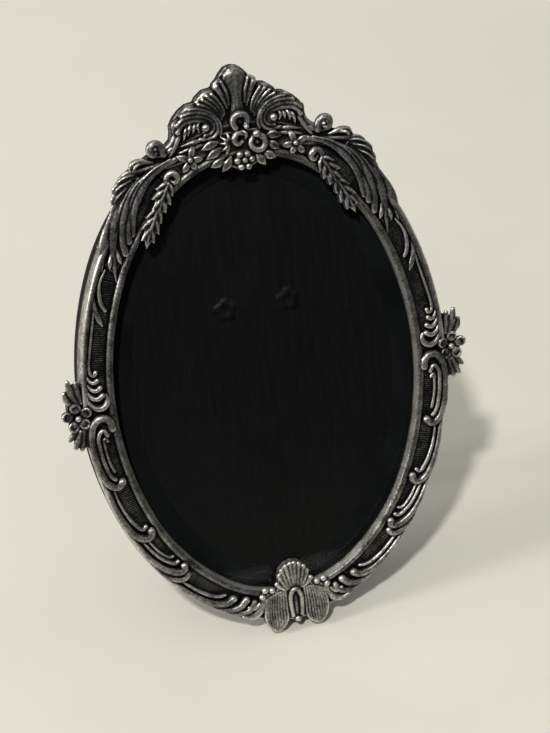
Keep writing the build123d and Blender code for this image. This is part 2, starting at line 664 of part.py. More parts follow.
def hinge_moving_leaf():
    """Middle knuckle with the plate on the leg and the tail that stops on the fixed leaf."""
    rear = PIN_Y + KNUCKLE_R
    plate = Pos(0, PIN_Z - LEAF_LENGTH / 2) * Rectangle(2 * KNUCKLE_HALF_W, LEAF_LENGTH)
    wide_h = LEAF_LENGTH - LEG_RIVET_DROP / 2
    wide = Pos(0, PIN_Z - LEAF_LENGTH + wide_h / 2) * RectangleRounded(LEAF_MOVING_W, wide_h, LEAF_CORNER_R)
    body = slab(plate, rear - LEAF_PLATE_T, rear) + slab(wide, rear - LEAF_PLATE_T, rear)
    for x, z in leg_rivet_places():
        body -= slab(Pos(x, z) * Circle(LEG_RIVET_R + EYELET_FIT), rear - LEAF_PLATE_T, rear)
    tail_front = BACK_REAR_Y + LEAF_PLATE_T + STOP_GAP
    tail = Pos(0, PIN_Z + TAIL_LENGTH / 2) * Rectangle(2 * KNUCKLE_HALF_W, TAIL_LENGTH)
    body = open_leg(body) + slab(tail, tail_front, tail_front + LEAF_PLATE_T)
    body += knuckle(-KNUCKLE_HALF_W, KNUCKLE_HALF_W)
    return body - pin_hole()


def leg_rivets():
    """Two rivets through the leg and its hinge leaf."""
    front = BACK_REAR_Y + LEG_GAP
    rear = PIN_Y + KNUCKLE_R
    solids = []
    for x, z in leg_rivet_places():
        place = Pos(x, z)
        body = slab(place * Circle(LEG_RIVET_R), front, rear)
        body += slab(place * Circle(LEG_RIVET_HEAD_R), rear, rear + LEG_RIVET_HEAD_T)
        body += slab(place * Circle(LEG_RIVET_HEAD_R), front - LEG_RIVET_TAIL_T, front)
        solids.append(open_leg(body))
    return Compound(children=solids)


def turn_button(heading):
    """Tapered plate that swings on a rivet and holds the back in."""
    tip = BUTTON_REACH - BUTTON_TIP_R
    outline = Circle(BUTTON_R) + Pos(-tip, 0) * Circle(BUTTON_TIP_R)
    lean = asin((BUTTON_R - BUTTON_TIP_R) / tip)
    wide = (-BUTTON_R * sin(lean), BUTTON_R * cos(lean))
    thin = (-tip - BUTTON_TIP_R * sin(lean), BUTTON_TIP_R * cos(lean))
    outline += make_face(Polyline(wide, thin, (thin[0], -thin[1]), (wide[0], -wide[1]), close=True))
    outline -= Circle(BUTTON_PIN_R + BUTTON_PIN_FIT)
    x, z = button_place(heading)
    front = LAND_Y + BUTTON_GAP
    return slab(Pos(x, z) * Rot(0, 0, heading) * outline, front, front + BUTTON_T)


def turn_button_rivets():
    """Four rivets in the back of the casting."""
    head = LAND_Y + BUTTON_T + 2 * BUTTON_GAP
    solids = []
    for heading in BUTTON_HEADINGS:
        x, z = button_place(heading)
        place = Pos(x, z)
        body = slab(place * Circle(BUTTON_PIN_R), LAND_Y - BUTTON_PIN_DEPTH, head)
        body += slab(place * Circle(BUTTON_HEAD_R), head, head + BUTTON_HEAD_T)
        solids.append(body)
    return Compound(children=solids)


pieces = {
    "frame_casting": stand(frame_casting()) - below_table(0),
    "glass_pane": stand(glass_pane()),
    "back_core": stand(back_core()),
    "back_cover": stand(back_cover()),
    "back_lining": stand(back_lining()),
    "hinge_fixed_leaf": stand(hinge_fixed_leaf()),
    "hinge_eyelets": stand(hinge_eyelets()),
    "hinge_pin": stand(hinge_pin()),
    "hinge_moving_leaf": stand(hinge_moving_leaf()),
    "leg_core": leg_core(),
    "leg_cover": leg_cover(),
    "leg_rivets": stand(leg_rivets()),
    "turn_button_rivets": stand(turn_button_rivets()),
}
for button_name, button_heading in zip(BUTTON_NAMES, BUTTON_HEADINGS):
    pieces["turn_button_" + button_name] = stand(turn_button(button_heading))

# The origin is on the table under the middle of the whole object.
front_y = min(piece.bounding_box().min.Y for piece in pieces.values())
rear_y = max(piece.bounding_box().max.Y for piece in pieces.values())
shift = Pos(0, -(front_y + rear_y) / 2, 0)

os.makedirs("parts", exist_ok=True)
for piece_name, piece in pieces.items():
    export_step(shift * piece, "parts/" + piece_name + ".step")
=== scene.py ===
# %% [markdown]
# # An oval picture frame of antiqued white metal
# This lesson dresses a CAD model of a small tabletop picture frame. The CAD gives the solid pieces and their
# joints. Here the cast front gets its carving, and every surface gets its finish.
# The frame is modelled upright about the middle of its oval, in millimetres: X right, Y back, Z up.
# One matrix then leans each piece back onto its easel leg, where the CAD pieces already are.

# %% Load the CAD frame
import json
from math import atan2, cos, degrees, hypot, pi, radians, sin, sqrt

import bmesh
import bpy
from mathutils import Matrix, Vector
from mathutils import noise as perlin


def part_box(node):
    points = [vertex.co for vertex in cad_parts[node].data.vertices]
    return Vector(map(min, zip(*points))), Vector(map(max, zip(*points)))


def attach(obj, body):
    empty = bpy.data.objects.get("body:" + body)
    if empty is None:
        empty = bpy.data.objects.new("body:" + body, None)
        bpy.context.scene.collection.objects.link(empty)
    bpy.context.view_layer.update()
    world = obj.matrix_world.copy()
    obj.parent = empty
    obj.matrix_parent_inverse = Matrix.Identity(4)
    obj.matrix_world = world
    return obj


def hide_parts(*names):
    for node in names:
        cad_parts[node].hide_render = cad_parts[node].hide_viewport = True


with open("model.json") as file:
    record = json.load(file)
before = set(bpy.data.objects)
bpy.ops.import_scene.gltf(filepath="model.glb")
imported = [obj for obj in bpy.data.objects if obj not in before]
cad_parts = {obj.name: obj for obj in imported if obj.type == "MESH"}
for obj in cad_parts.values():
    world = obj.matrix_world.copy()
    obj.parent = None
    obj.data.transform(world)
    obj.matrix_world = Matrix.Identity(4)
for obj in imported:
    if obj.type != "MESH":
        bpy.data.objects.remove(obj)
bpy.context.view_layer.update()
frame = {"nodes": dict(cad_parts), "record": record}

# %% Sizes shared with the CAD pieces, in millimetres
MM = 0.001
SIGHT_HALF_W = 41.5
SIGHT_HALF_H = 61.0
END_ARC_SHARE = 1.06
SHOULDER_ARC_SHARE = 1.05
SIDE_ARC_SHARE = 0.96
BAND_W = 9.5
SEAT_W = 3.0
GLASS_T = 1.8
LAND_DEPTH = 5.2
LEAN = radians(17)

# The middle of the glass is known in both frames, so it gives the matrix that stands a piece up.
low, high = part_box("glass_pane")
glass_middle = (Vector(low) + Vector(high)) / 2
tilt = Matrix.Rotation(-LEAN, 4, "X")
stand = Matrix.Translation(glass_middle - tilt @ Vector((0, GLASS_T * MM / 2, 0))) @ tilt
print("lean back, degrees:", round(degrees(LEAN), 1))

# %% [markdown]
# ## Camera, light and table
# The photograph looks down on the frame from the left, from about half a metre. The camera's place and turn
# come from the oval and its matching left and right ornaments. A lamp at the front left gives the shadow on
# the right, a window on the left lights the flanks that face it, and a weak lamp stands behind. The room in
# front of the glass stays dark, so that the pane looks black.

# %% Camera
IMAGE_H = 733
FOCAL_PIXELS = 1681.7
CAMERA_PLACE = (-98.15, -416.6, 144.96)
CAMERA_TURN = (55.21, 1.538, -16.819)
camera_data = bpy.data.cameras.new("camera")
camera_data.sensor_fit = "VERTICAL"
camera_data.sensor_height = 36.0
camera_data.lens = FOCAL_PIXELS * camera_data.sensor_height / IMAGE_H
camera = bpy.data.objects.new("camera", camera_data)
bpy.context.collection.objects.link(camera)
camera.location = stand @ (Vector(CAMERA_PLACE) * MM)
camera.rotation_euler = [radians(turn) for turn in CAMERA_TURN]
bpy.context.scene.camera = camera
print("lens, mm:", round(camera_data.lens, 1))


# %% Helpers for node materials
def new_material(name):
    """An empty node material with its output node."""
    material = bpy.data.materials.new(name)
    material.use_nodes = True
    material.node_tree.nodes.clear()
    return material, material.node_tree


def add_node(tree, kind, inputs=None, **settings):
    """A node of a kind, with its settings and its unlinked input values."""
    node = tree.nodes.new(kind)
    for key, value in settings.items():
        setattr(node, key, value)
    for key, value in (inputs or {}).items():
        if isinstance(value, bpy.types.NodeSocket):
            tree.links.new(value, node.inputs[key])
        else:
            node.inputs[key].default_value = value
    return node


def ramp(tree, factor, stops):
    """A colour ramp over a factor. Each stop is a place and a grey or a colour."""
    node = add_node(tree, "ShaderNodeValToRGB", {"Fac": factor})
    elements = node.color_ramp.elements
    while len(elements) < len(stops):
        elements.new(0.5)
    for element, (place, value) in zip(elements, stops):
        element.position = place
        element.color = (value, value, value, 1) if isinstance(value, (int, float)) else (*value, 1)
    return node.outputs["Color"]


def mix_colour(tree, factor, first, second):
    """Two colours mixed by a factor."""
    node = add_node(tree, "ShaderNodeMix", data_type="RGBA")
    for socket, value in ((node.inputs[0], factor), (node.inputs[6], first), (node.inputs[7], second)):
        if isinstance(value, bpy.types.NodeSocket):
            tree.links.new(value, socket)
        else:
            socket.default_value = value if isinstance(value, (int, float)) else (*value, 1)
    return node.outputs[2]


def math_node(tree, operation, first, second=0.0):
    """One sum on values."""
    return add_node(tree, "ShaderNodeMath", {0: first, 1: second}, operation=operation).outputs[0]


def scaled(tree, value, source, target):
    """A value moved from one range into another, and held inside it."""
    low, high = source
    first, last = target
    return add_node(tree, "ShaderNodeMapRange", {0: value, 1: low, 2: high, 3: first, 4: last}).outputs[0]


def output(tree, shader):
    """Sends a shader to the surface."""
    add_node(tree, "ShaderNodeOutputMaterial", {"Surface": shader})


def noise(tree, scale, detail=4.0, rough=0.55, stretch=(1, 1, 1)):
    """Noise on object coordinates. Scale counts patches in a millimetre."""
    place = add_node(tree, "ShaderNodeTexCoord").outputs["Object"]
    finer = [share / MM for share in stretch]
    fitted = add_node(tree, "ShaderNodeMapping", {"Vector": place, "Scale": finer}).outputs[0]
    node = add_node(tree, "ShaderNodeTexNoise", {
        "Vector": fitted, "Scale": scale, "Detail": detail, "Roughness": rough,
    })
    return node.outputs["Fac"]


# %% Table, lamps and room
TABLE_FRONT = -0.14


def make_floor():
    """A pale stone table top. Its front edge lies just before the view, so the glass mirrors a dark room."""
    bm = bmesh.new()
    bmesh.ops.create_grid(bm, x_segments=1, y_segments=1, size=3.0)
    for vert in bm.verts:
        vert.co.y = max(vert.co.y, TABLE_FRONT)
    mesh = bpy.data.meshes.new("table_top")
    bm.to_mesh(mesh)
    bm.free()
    floor = bpy.data.objects.new("table_top", mesh)
    bpy.context.collection.objects.link(floor)
    material, tree = new_material("pale stone")
    cloud = noise(tree, 0.012, 3.0)
    colour = ramp(tree, cloud, ((0.35, (0.70, 0.685, 0.605)), (0.65, (0.73, 0.715, 0.635))))
    # Painted light: the top is made lighter toward the back, standing in for lamp light that falls off there.
    place = add_node(tree, "ShaderNodeTexCoord").outputs["Object"]
    backward = add_node(tree, "ShaderNodeSeparateXYZ", {0: place}).outputs[1]
    away = scaled(tree, backward, (0.0, 0.7), (0.0, 1.0))
    colour = mix_colour(tree, away, colour, (0.92, 0.905, 0.80))
    shader = add_node(tree, "ShaderNodeBsdfPrincipled", {"Base Color": colour, "Roughness": 0.6})
    shader.inputs["Specular IOR Level"].default_value = 0.2
    output(tree, shader.outputs[0])
    mesh.materials.append(material)


def area_lamp(name, way, distance, size, watts, colour):
    """A square soft lamp, put a distance away along a direction from the frame."""
    data = bpy.data.lights.new(name, "AREA")
    data.shape = "SQUARE"
    data.size = size
    data.energy = watts
    data.color = colour
    lamp = bpy.data.objects.new(name, data)
    bpy.context.collection.objects.link(lamp)
    way = Vector(way).normalized()
    lamp.location = Vector((0, 0, 0.06)) + way * distance
    lamp.rotation_euler = way.to_track_quat("Z", "Y").to_euler()


make_floor()
area_lamp("lamp_front_left", (-0.41, -0.64, 1.0), 2.2, 0.13, 30.5, (1.0, 0.99, 0.965))
area_lamp("window_left", (-1.0, -0.10, 0.44), 1.9, 0.4, 18.0, (1.0, 0.985, 0.955))
area_lamp("room_behind", (0.5, 1.0, 0.9), 2.0, 1.0, 2.5, (1.0, 0.99, 0.97))
world = bpy.data.worlds.new("room")
bpy.context.scene.world = world
world.use_nodes = True
room = world.node_tree
room.nodes.clear()
direction = add_node(room, "ShaderNodeTexCoord").outputs["Generated"]
upward = add_node(room, "ShaderNodeSeparateXYZ", {0: direction}).outputs[2]
room_light = ramp(room, upward, (
    (0.0, (0.012, 0.012, 0.012)), (0.18, (0.06, 0.058, 0.054)), (0.8, (0.40, 0.395, 0.38)),
))
shade = add_node(room, "ShaderNodeBackground", {"Color": room_light, "Strength": 1.0})
add_node(room, "ShaderNodeOutputWorld", {"Surface": shade.outputs[0]})
bpy.context.scene.view_settings.view_transform = "Standard"

# %% [markdown]
# ## Antiqued metal
# The maker cast the front in white metal, blackened it all over and rubbed the high parts bright again. So one
# mask drives the finish: how rubbed a spot is. Deep places stay nearly black and dull, open ones are warm grey
# and smooth, and the sharpest edges are worn brightest. What stands out from its surroundings is marked on the
# mesh, and the node group multiplies that by how much sky a spot sees, so the black also gathers where one
# piece meets another.


# %% The patina group
PATINA_REACH = 1.4 * MM


def make_patina_group():
    """Puts out how rubbed a spot is, from deep black 0 to worn bright 1, and a fine cast grain."""
    group = bpy.data.node_groups.new("rubbed patina", "ShaderNodeTree")
    face = group.interface
    face.new_socket("Reach", in_out="INPUT", socket_type="NodeSocketFloat").default_value = PATINA_REACH
    face.new_socket("Rub", in_out="OUTPUT", socket_type="NodeSocketFloat")
    face.new_socket("Grain", in_out="OUTPUT", socket_type="NodeSocketFloat")
    start = group.nodes.new("NodeGroupInput")
    end = group.nodes.new("NodeGroupOutput")
    lift = add_node(group, "ShaderNodeAttribute", attribute_name="rub").outputs["Fac"]
    ridge = scaled(group, lift, (-0.14, 0.16), (0.0, 1.0))
    hollow = add_node(group, "ShaderNodeAmbientOcclusion", {"Distance": start.outputs["Reach"]}, samples=12)
    open_sky = scaled(group, hollow.outputs["AO"], (0.35, 0.9), (0.1, 1.0))
    patch = scaled(group, noise(group, 0.25, 5.0), (0.3, 0.7), (0.72, 1.2))
    speck = scaled(group, noise(group, 1.7, 3.0), (0.3, 0.7), (0.76, 1.2))
    total = math_node(group, "MULTIPLY", math_node(group, "MULTIPLY", ridge, open_sky), patch)
    group.links.new(math_node(group, "MULTIPLY", total, speck), end.inputs["Rub"])
    group.links.new(noise(group, 2.4, 3.0), end.inputs["Grain"])
    return group


patina = make_patina_group()


def make_cast_metal():
    """Blackened and rubbed white metal."""
    material, tree = new_material("antiqued cast metal")
    rubbed = add_node(tree, "ShaderNodeGroup", node_tree=patina)
    rubbed.inputs["Reach"].default_value = PATINA_REACH
    rub = rubbed.outputs["Rub"]
    black = (0.004, 0.0045, 0.005)
    dark = (0.024, 0.024, 0.0235)
    worn = (0.25, 0.243, 0.222)
    bright = (0.66, 0.64, 0.59)
    colour = ramp(tree, rub, ((0.24, black), (0.42, dark), (0.64, worn), (0.92, bright)))
    dull = ramp(tree, rub, ((0.1, 0.6), (0.85, 0.36)))
    metal = ramp(tree, rub, ((0.1, 0.1), (0.55, 0.85)))
    shine = ramp(tree, rub, ((0.1, 0.03), (0.5, 0.5)))
    bump = add_node(tree, "ShaderNodeBump", {
        "Height": rubbed.outputs["Grain"], "Strength": 0.5, "Distance": 0.07 * MM,
    })
    shader = add_node(tree, "ShaderNodeBsdfPrincipled", {
        "Base Color": colour, "Roughness": dull, "Metallic": metal, "Specular IOR Level": shine,
        "Normal": bump.outputs[0],
    })
    output(tree, shader.outputs[0])
    return material


cast_metal = make_cast_metal()
print("made", cast_metal.name)


# %% Mark what gets rubbed
def soften(bm):
    """Moves every vertex half way to the middle of its neighbours."""
    bmesh.ops.smooth_vert(bm, verts=bm.verts, factor=0.5, use_axis_x=True, use_axis_y=True, use_axis_z=True)


RUB_ROUNDS = 26
SIDE_FROM = 0.2
SIDE_SHARE = 0.14
SIDE_MOST = 0.22
LIFT_MOST = 0.2


def mark_rub(bm, rounds=RUB_ROUNDS, sunk=0.0):
    """Stores on each vertex how far it stands out from a smoothed copy of the surface, in millimetres.
    The sides behind the front were never rubbed, so they count as sunk. A whole piece can be sunk too."""
    bm.normal_update()
    places = [vert.co.copy() for vert in bm.verts]
    normals = [vert.normal.copy() for vert in bm.verts]
    for _ in range(rounds):
        soften(bm)
    layer = bm.verts.layers.float.new("rub")
    for vert, place, normal in zip(bm.verts, places, normals):
        lift = min(LIFT_MOST, (place - vert.co).dot(normal))
        vert[layer] = lift - min(SIDE_MOST, SIDE_SHARE * max(0, place.y + SIDE_FROM)) - sunk
        vert.co = place


# %% [markdown]
# ## The oval moulding
# The moulding is one section run round the oval: a half-round bead at the sight edge, a sunk channel and a
# rounded rim, with the stepped seat for the glass behind. The oval is eight arcs, so the section is spun round
# the centre of each arc in turn, and the last slice of one spin starts the next.


# %% The oval
def oval_arcs():
    """The eight arcs in turn: centre X and Z, radius, first and last heading in degrees."""
    end_r = END_ARC_SHARE * SIGHT_HALF_W**2 / SIGHT_HALF_H
    side_r = SIDE_ARC_SHARE * SIGHT_HALF_H**2 / SIGHT_HALF_W
    mid_r = SHOULDER_ARC_SHARE * sqrt(SIGHT_HALF_W * SIGHT_HALF_H)
    end_z = SIGHT_HALF_H - end_r
    side_x = SIGHT_HALF_W - side_r
    span = hypot(side_x, end_z)
    from_end = mid_r - end_r
    along = (from_end**2 - (side_r - mid_r) ** 2 + span**2) / (2 * span)
    aside = sqrt(from_end**2 - along**2)
    mid_x = (side_x * along + end_z * aside) / span
    mid_z = end_z - (end_z * along - side_x * aside) / span
    low_turn = degrees(atan2(mid_z, mid_x - side_x))
    high_turn = degrees(atan2(end_z - mid_z, -mid_x))
    return (
        (side_x, 0, side_r, -low_turn, low_turn),
        (mid_x, mid_z, mid_r, low_turn, high_turn),
        (0, end_z, end_r, high_turn, 180 - high_turn),
        (-mid_x, mid_z, mid_r, 180 - high_turn, 180 - low_turn),
        (-side_x, 0, side_r, 180 - low_turn, 180 + low_turn),
        (-mid_x, -mid_z, mid_r, 180 + low_turn, 180 + high_turn),
        (0, -end_z, end_r, 180 + high_turn, 360 - high_turn),
        (mid_x, -mid_z, mid_r, 360 - high_turn, 360 - low_turn),
    )


def oval_point(heading, out):
    """X and Z of the oval where it faces a heading, pushed out along it."""
    arcs = oval_arcs()
    heading = (heading - arcs[0][3]) % 360 + arcs[0][3]
    for x, z, radius, first, last in arcs:
        if first <= heading <= last:
            return x + (radius + out) * cos(radians(heading)), z + (radius + out) * sin(radians(heading))


print("top of the sight oval:", [round(v, 1) for v in oval_point(90, 0)])


# %% Spin a section round the oval
STEP_DEGREES = 1.6


def spin_oval(bm, section, closed=True):
    """Spins a section of distance out and height in front of the seat round every arc."""
    arcs = oval_arcs()
    x, z, radius, first, last = arcs[0]
    c, s = cos(radians(first)), sin(radians(first))
    verts = [bm.verts.new((x + (radius + out) * c, -rise, z + (radius + out) * s)) for out, rise in section]
    pairs = list(zip(verts[:-1], verts[1:])) + ([(verts[-1], verts[0])] if closed else [])
    geom = verts + [bm.edges.new(pair) for pair in pairs]
    for x, z, radius, first, last in arcs:
        steps = max(2, round((last - first) / STEP_DEGREES * sqrt(radius / SIGHT_HALF_W)))
        spun = bmesh.ops.spin(
            bm, geom=geom, cent=(x, 0, z), axis=(0, -1, 0), angle=radians(last - first), steps=steps,
        )
        geom = spun["geom_last"]
    bmesh.ops.remove_doubles(bm, verts=bm.verts, dist=0.001)
    bmesh.ops.recalc_face_normals(bm, faces=bm.faces)


def finish_piece(bm, name, material, body="front", sharp=40, upright=True):
    """Scales a bmesh from millimetres, stands it on the table and makes it an object on a CAD body."""
    bm.transform((stand if upright else Matrix()) @ Matrix.Scale(MM, 4))
    for vert in bm.verts:
        vert.co.z = max(vert.co.z, 0)
    mesh = bpy.data.meshes.new(name)
    bm.to_mesh(mesh)
    bm.free()
    for polygon in mesh.polygons:
        polygon.use_smooth = True
    if sharp:
        mesh.set_sharp_from_angle(angle=radians(sharp))
    mesh.materials.append(material)
    piece = bpy.data.objects.new(name, mesh)
    bpy.context.collection.objects.link(piece)
    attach(piece, body)
    print(name, "faces:", len(mesh.polygons))
    return piece


# %% Moulding
BEAD_MID = (1.3, 1.75)
BEAD_R = 0.95
BEAD_STEPS = 10
CHANNEL_RISE = 1.0
RIM_MID = (8.25, 1.75)
RIM_R = 1.25
RIM_STEPS = 6
RIM_LOW = 1.7
SIDE_BEHIND = 2.4
RIM_SPAN = (5.0, 43.0)
RIM_FADES = (5.0, 13.0)
CHANNEL_EDGE = 2.5
MOULDING_ROUNDS = 8
MOULDING_SUNK = 0.06


def half_round(middle, radius, steps):
    """Points of a half circle from its inner foot over the top to its outer foot."""
    turns = [pi * i / steps for i in range(steps + 1)]
    return [(middle[0] - radius * cos(turn), middle[1] + radius * sin(turn)) for turn in turns]


def rounded_side(middle, radius, steps):
    """Points from the top of the rim over its round outer side, which runs down behind the front."""
    turns = [pi / 2 * i / steps for i in range(1, steps + 1)]
    drop = middle[1] + radius + SIDE_BEHIND
    return [(middle[0] + radius * sin(turn), drop * cos(turn) - SIDE_BEHIND) for turn in turns]


def sink_rim(bm):
    """Lowers the rim where leaves and scrolls take its place, above and below the plain sides."""
    low, high = RIM_SPAN
    low_fade, high_fade = RIM_FADES
    for vert in bm.verts:
        across = vert.co.x / (SIGHT_HALF_W + CHANNEL_EDGE)
        up = vert.co.z / (SIGHT_HALF_H + CHANNEL_EDGE)
        if hypot(across, up) > 1 and -vert.co.y > RIM_LOW:
            keep = 1 - max((low - vert.co.z) / low_fade, (vert.co.z - high) / high_fade, 0)
            vert.co.y = -(RIM_LOW + (-vert.co.y - RIM_LOW) * max(0, keep))


bead = half_round(BEAD_MID, BEAD_R, BEAD_STEPS)
channel = [(2.3, 1.35), (2.5, CHANNEL_RISE), (6.75, CHANNEL_RISE), (6.95, 1.25)]
rim = half_round(RIM_MID, RIM_R, 2 * RIM_STEPS)[:RIM_STEPS + 1] + rounded_side(RIM_MID, RIM_R, RIM_STEPS)
behind = [(BAND_W, -4.7), (9.35, -5.05), (9.0, -LAND_DEPTH), (SEAT_W, -LAND_DEPTH), (SEAT_W, 0), (0, 0)]
bm = bmesh.new()
spin_oval(bm, bead + channel + rim + behind)
sink_rim(bm)
mark_rub(bm, MOULDING_ROUNDS, MOULDING_SUNK)
moulding = finish_piece(bm, "moulding", cast_metal)
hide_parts("frame_casting")

# %% [markdown]
# ## Carved strokes
# A carver cuts this ornament in strokes: each flute, curl and leaf rib is one tapering ridge. So the ornament
# is drawn as strokes too. A stroke is a smooth curve through a few places with a radius that swells and fades,
# and it is lower where it is thinner. All strokes of a region are turned to mesh together, joined by balls and
# plates, and then remeshed into one skin, as metal fills one mould.

# %% Stroke tools
VOXEL = 0.17
STROKE_FINE = 5
SKIN_SOFTENS = 2
HANDS = ((1, "right"), (-1, "left"))
PETAL_FLAT = 0.6
PETAL_SPLIT = 0.62
# Each tooth and vein of a leaf is its share of the way along and its share of the half width.
LEAF_TEETH = (
    (0, 0.25), (0.3, 0.95), (0.26, 0.6), (0.58, 1.0), (0.54, 0.55), (0.84, 0.72), (0.8, 0.36), (1, 0),
)
LEAF_VEINS = ((0.28, 0.8), (0.55, 0.84), (0.81, 0.58))
LEAF_RIB_SHARES = (0.14, 0.2, 0.06)
LEAF_VEIN_SHARES = (0.1, 0.2, 0.08)
LEAF_RIB_RISE = 0.1
LEAF_DROP = 0.45
LEAF_ROOT = 0.6
VEIN_REACH = 0.4
VEIN_SINK = 0.3


def beside(places, share, aside):
    """A place along a line of places, moved a distance to its right."""
    place = share * (len(places) - 1)
    i = min(int(place), len(places) - 2)
    (x0, z0), (x1, z1) = places[i], places[i + 1]
    length = hypot(x1 - x0, z1 - z0)
    x, z = x0 + (x1 - x0) * (place - i), z0 + (z1 - z0) * (place - i)
    return x + aside * (z1 - z0) / length, z - aside * (x1 - x0) / length


def evaluated_mesh(holder):
    """The mesh of an object once its curves and modifiers are worked out. The object itself is dropped."""
    bpy.context.collection.objects.link(holder)
    bpy.context.view_layer.update()
    graph = bpy.context.evaluated_depsgraph_get()
    mesh = bpy.data.meshes.new_from_object(holder.evaluated_get(graph))
    bpy.data.objects.remove(holder)
    return mesh


class Relief:
    """Collects strokes, balls and plates of one region of the casting, in upright millimetres."""

    def __init__(self, name, ground):
        self.name = name
        self.ground = ground
        self.curves = {}
        self.bm = bmesh.new()

    def sheaf(self, flat):
        """The curve object that holds the strokes of one flatness."""
        if flat not in self.curves:
            curve = bpy.data.curves.new(self.name, "CURVE")
            curve.dimensions = "3D"
            curve.bevel_depth = 1.0
            curve.bevel_resolution = 2
            curve.resolution_u = STROKE_FINE
            curve.use_fill_caps = True
            self.curves[flat] = curve
        return self.curves[flat]

    def stroke(self, top, radii, places, sides=(1,), flat=1.0, sink=1.0):
        """One ridge through places. Its radius goes from the first by the middle one to the last.
        Where it is thinner it is lower too, and with a full sink thin ends run down into the ground."""
        first, middle, last = radii
        count = len(places)
        for side in sides:
            spline = self.sheaf(flat).splines.new("BEZIER")
            spline.bezier_points.add(count - 1)
            for i, (point, (x, z)) in enumerate(zip(spline.bezier_points, places)):
                share = 2 * i / (count - 1)
                if share < 1:
                    radius = first + (middle - first) * share
                else:
                    radius = middle + (last - middle) * (share - 1)
                height = top - sink * (top - self.ground) * (1 - radius / max(radii))
                point.co = (side * x, radius - height / flat, z)
                point.radius = radius
                point.handle_left_type = "AUTO"
                point.handle_right_type = "AUTO"
                if i in (0, count - 1):
                    self.ball(height, radius, (side * x, z), flat=flat)

    def strokes(self, rows, sides=(1, -1), flat=1.0):
        """Many strokes, each a top, its radii and its places."""
        for top, radii, places in rows:
            self.stroke(top, radii, places, sides, flat)

    def ball(self, top, radius, place, sides=(1,), flat=1.0):
        """A ball whose front is at a height, flattened in depth if asked."""
        for side in sides:
            middle = Matrix.Translation((side * place[0], flat * radius - top, place[1]))
            squeeze = Matrix.Diagonal((1, flat, 1, 1))
            bmesh.ops.create_icosphere(self.bm, subdivisions=2, radius=radius, matrix=middle @ squeeze)

    def balls(self, rows, sides=(1, -1)):
        """Many balls, each a top, a radius and a place."""
        for top, radius, place in rows:
            self.ball(top, radius, place, sides)

    def plate(self, front, back, outline):
        """Flat ground between two depths inside an outline."""
        verts = [self.bm.verts.new((x, -front, z)) for x, z in outline]
        face = self.bm.faces.new(verts)
        grown = bmesh.ops.extrude_face_region(self.bm, geom=[face])
        moved = [item for item in grown["geom"] if isinstance(item, bmesh.types.BMVert)]
        bmesh.ops.translate(self.bm, verts=moved, vec=(0, front - back, 0))

    def leaf(self, top, width, places, sides=(1, -1)):
        """An acanthus leaf: a plate with saw teeth that point forward, a mid rib and a vein to each tooth."""
        right = [beside(places, share, width * out) for share, out in LEAF_TEETH]
        left = [beside(places, share, -width * out) for share, out in LEAF_TEETH]
        outline = right + left[-2::-1]
        for side in sides:
            self.plate(top - LEAF_DROP, self.ground - LEAF_ROOT, [(side * x, z) for x, z in outline])
        rib = [share * width for share in LEAF_RIB_SHARES]
        self.stroke(top + LEAF_RIB_RISE, rib, places, sides, 1.0, VEIN_SINK)
        radii = [share * width for share in LEAF_VEIN_SHARES]
        for share, out in LEAF_VEINS:
            for hand in (1, -1):
                vein = [
                    beside(places, max(0, share - VEIN_REACH + VEIN_REACH / 2 * i), hand * width * out * i / 2)
                    for i in range(3)
                ]
                self.stroke(top, radii, vein, sides, 1.0, VEIN_SINK)

    def petal(self, top, radii, places, sides=(1, -1)):
        """A smooth leaf with a groove along its middle: two flat strokes side by side."""
        (x0, z0), (x1, z1) = places[0], places[-1]
        length = hypot(x1 - x0, z1 - z0)
        aside = PETAL_SPLIT * radii[1]
        dx, dz = -(z1 - z0) / length * aside, (x1 - x0) / length * aside
        for hand in (1, -1):
            shifted = [places[0]] + [(x + hand * dx, z + hand * dz) for x, z in places[1:-1]] + [places[-1]]
            self.stroke(top, radii, shifted, sides, PETAL_FLAT)

    def cast(self, back, voxel=VOXEL, sunk=0.0):
        """Joins everything, flattens what lies behind a depth and remeshes it to one skin."""
        for flat, curve in self.curves.items():
            stroked = evaluated_mesh(bpy.data.objects.new(self.name + "_strokes", curve))
            stroked.transform(Matrix.Diagonal((1, flat, 1, 1)))
            self.bm.from_mesh(stroked)
        for vert in self.bm.verts:
            vert.co.y = min(vert.co.y, back)
        rough = bpy.data.meshes.new(self.name)
        self.bm.to_mesh(rough)
        self.bm.free()
        blank = bpy.data.objects.new(self.name + "_blank", rough)
        remesh = blank.modifiers.new("one skin", "REMESH")
        remesh.mode = "VOXEL"
        remesh.voxel_size = voxel
        bm = bmesh.new()
        bm.from_mesh(evaluated_mesh(blank))
        for _ in range(SKIN_SOFTENS):
            soften(bm)
        mark_rub(bm, sunk=sunk)
        finish_piece(bm, self.name, cast_metal, sharp=0)


# %% [markdown]
# ## Crest
# The crest is a fan shell. A plain plume stands in the middle, flutes fan out beside it, and the outer lobes
# run over the top of two volutes and curl round their eyes. The two halves mirror each other.

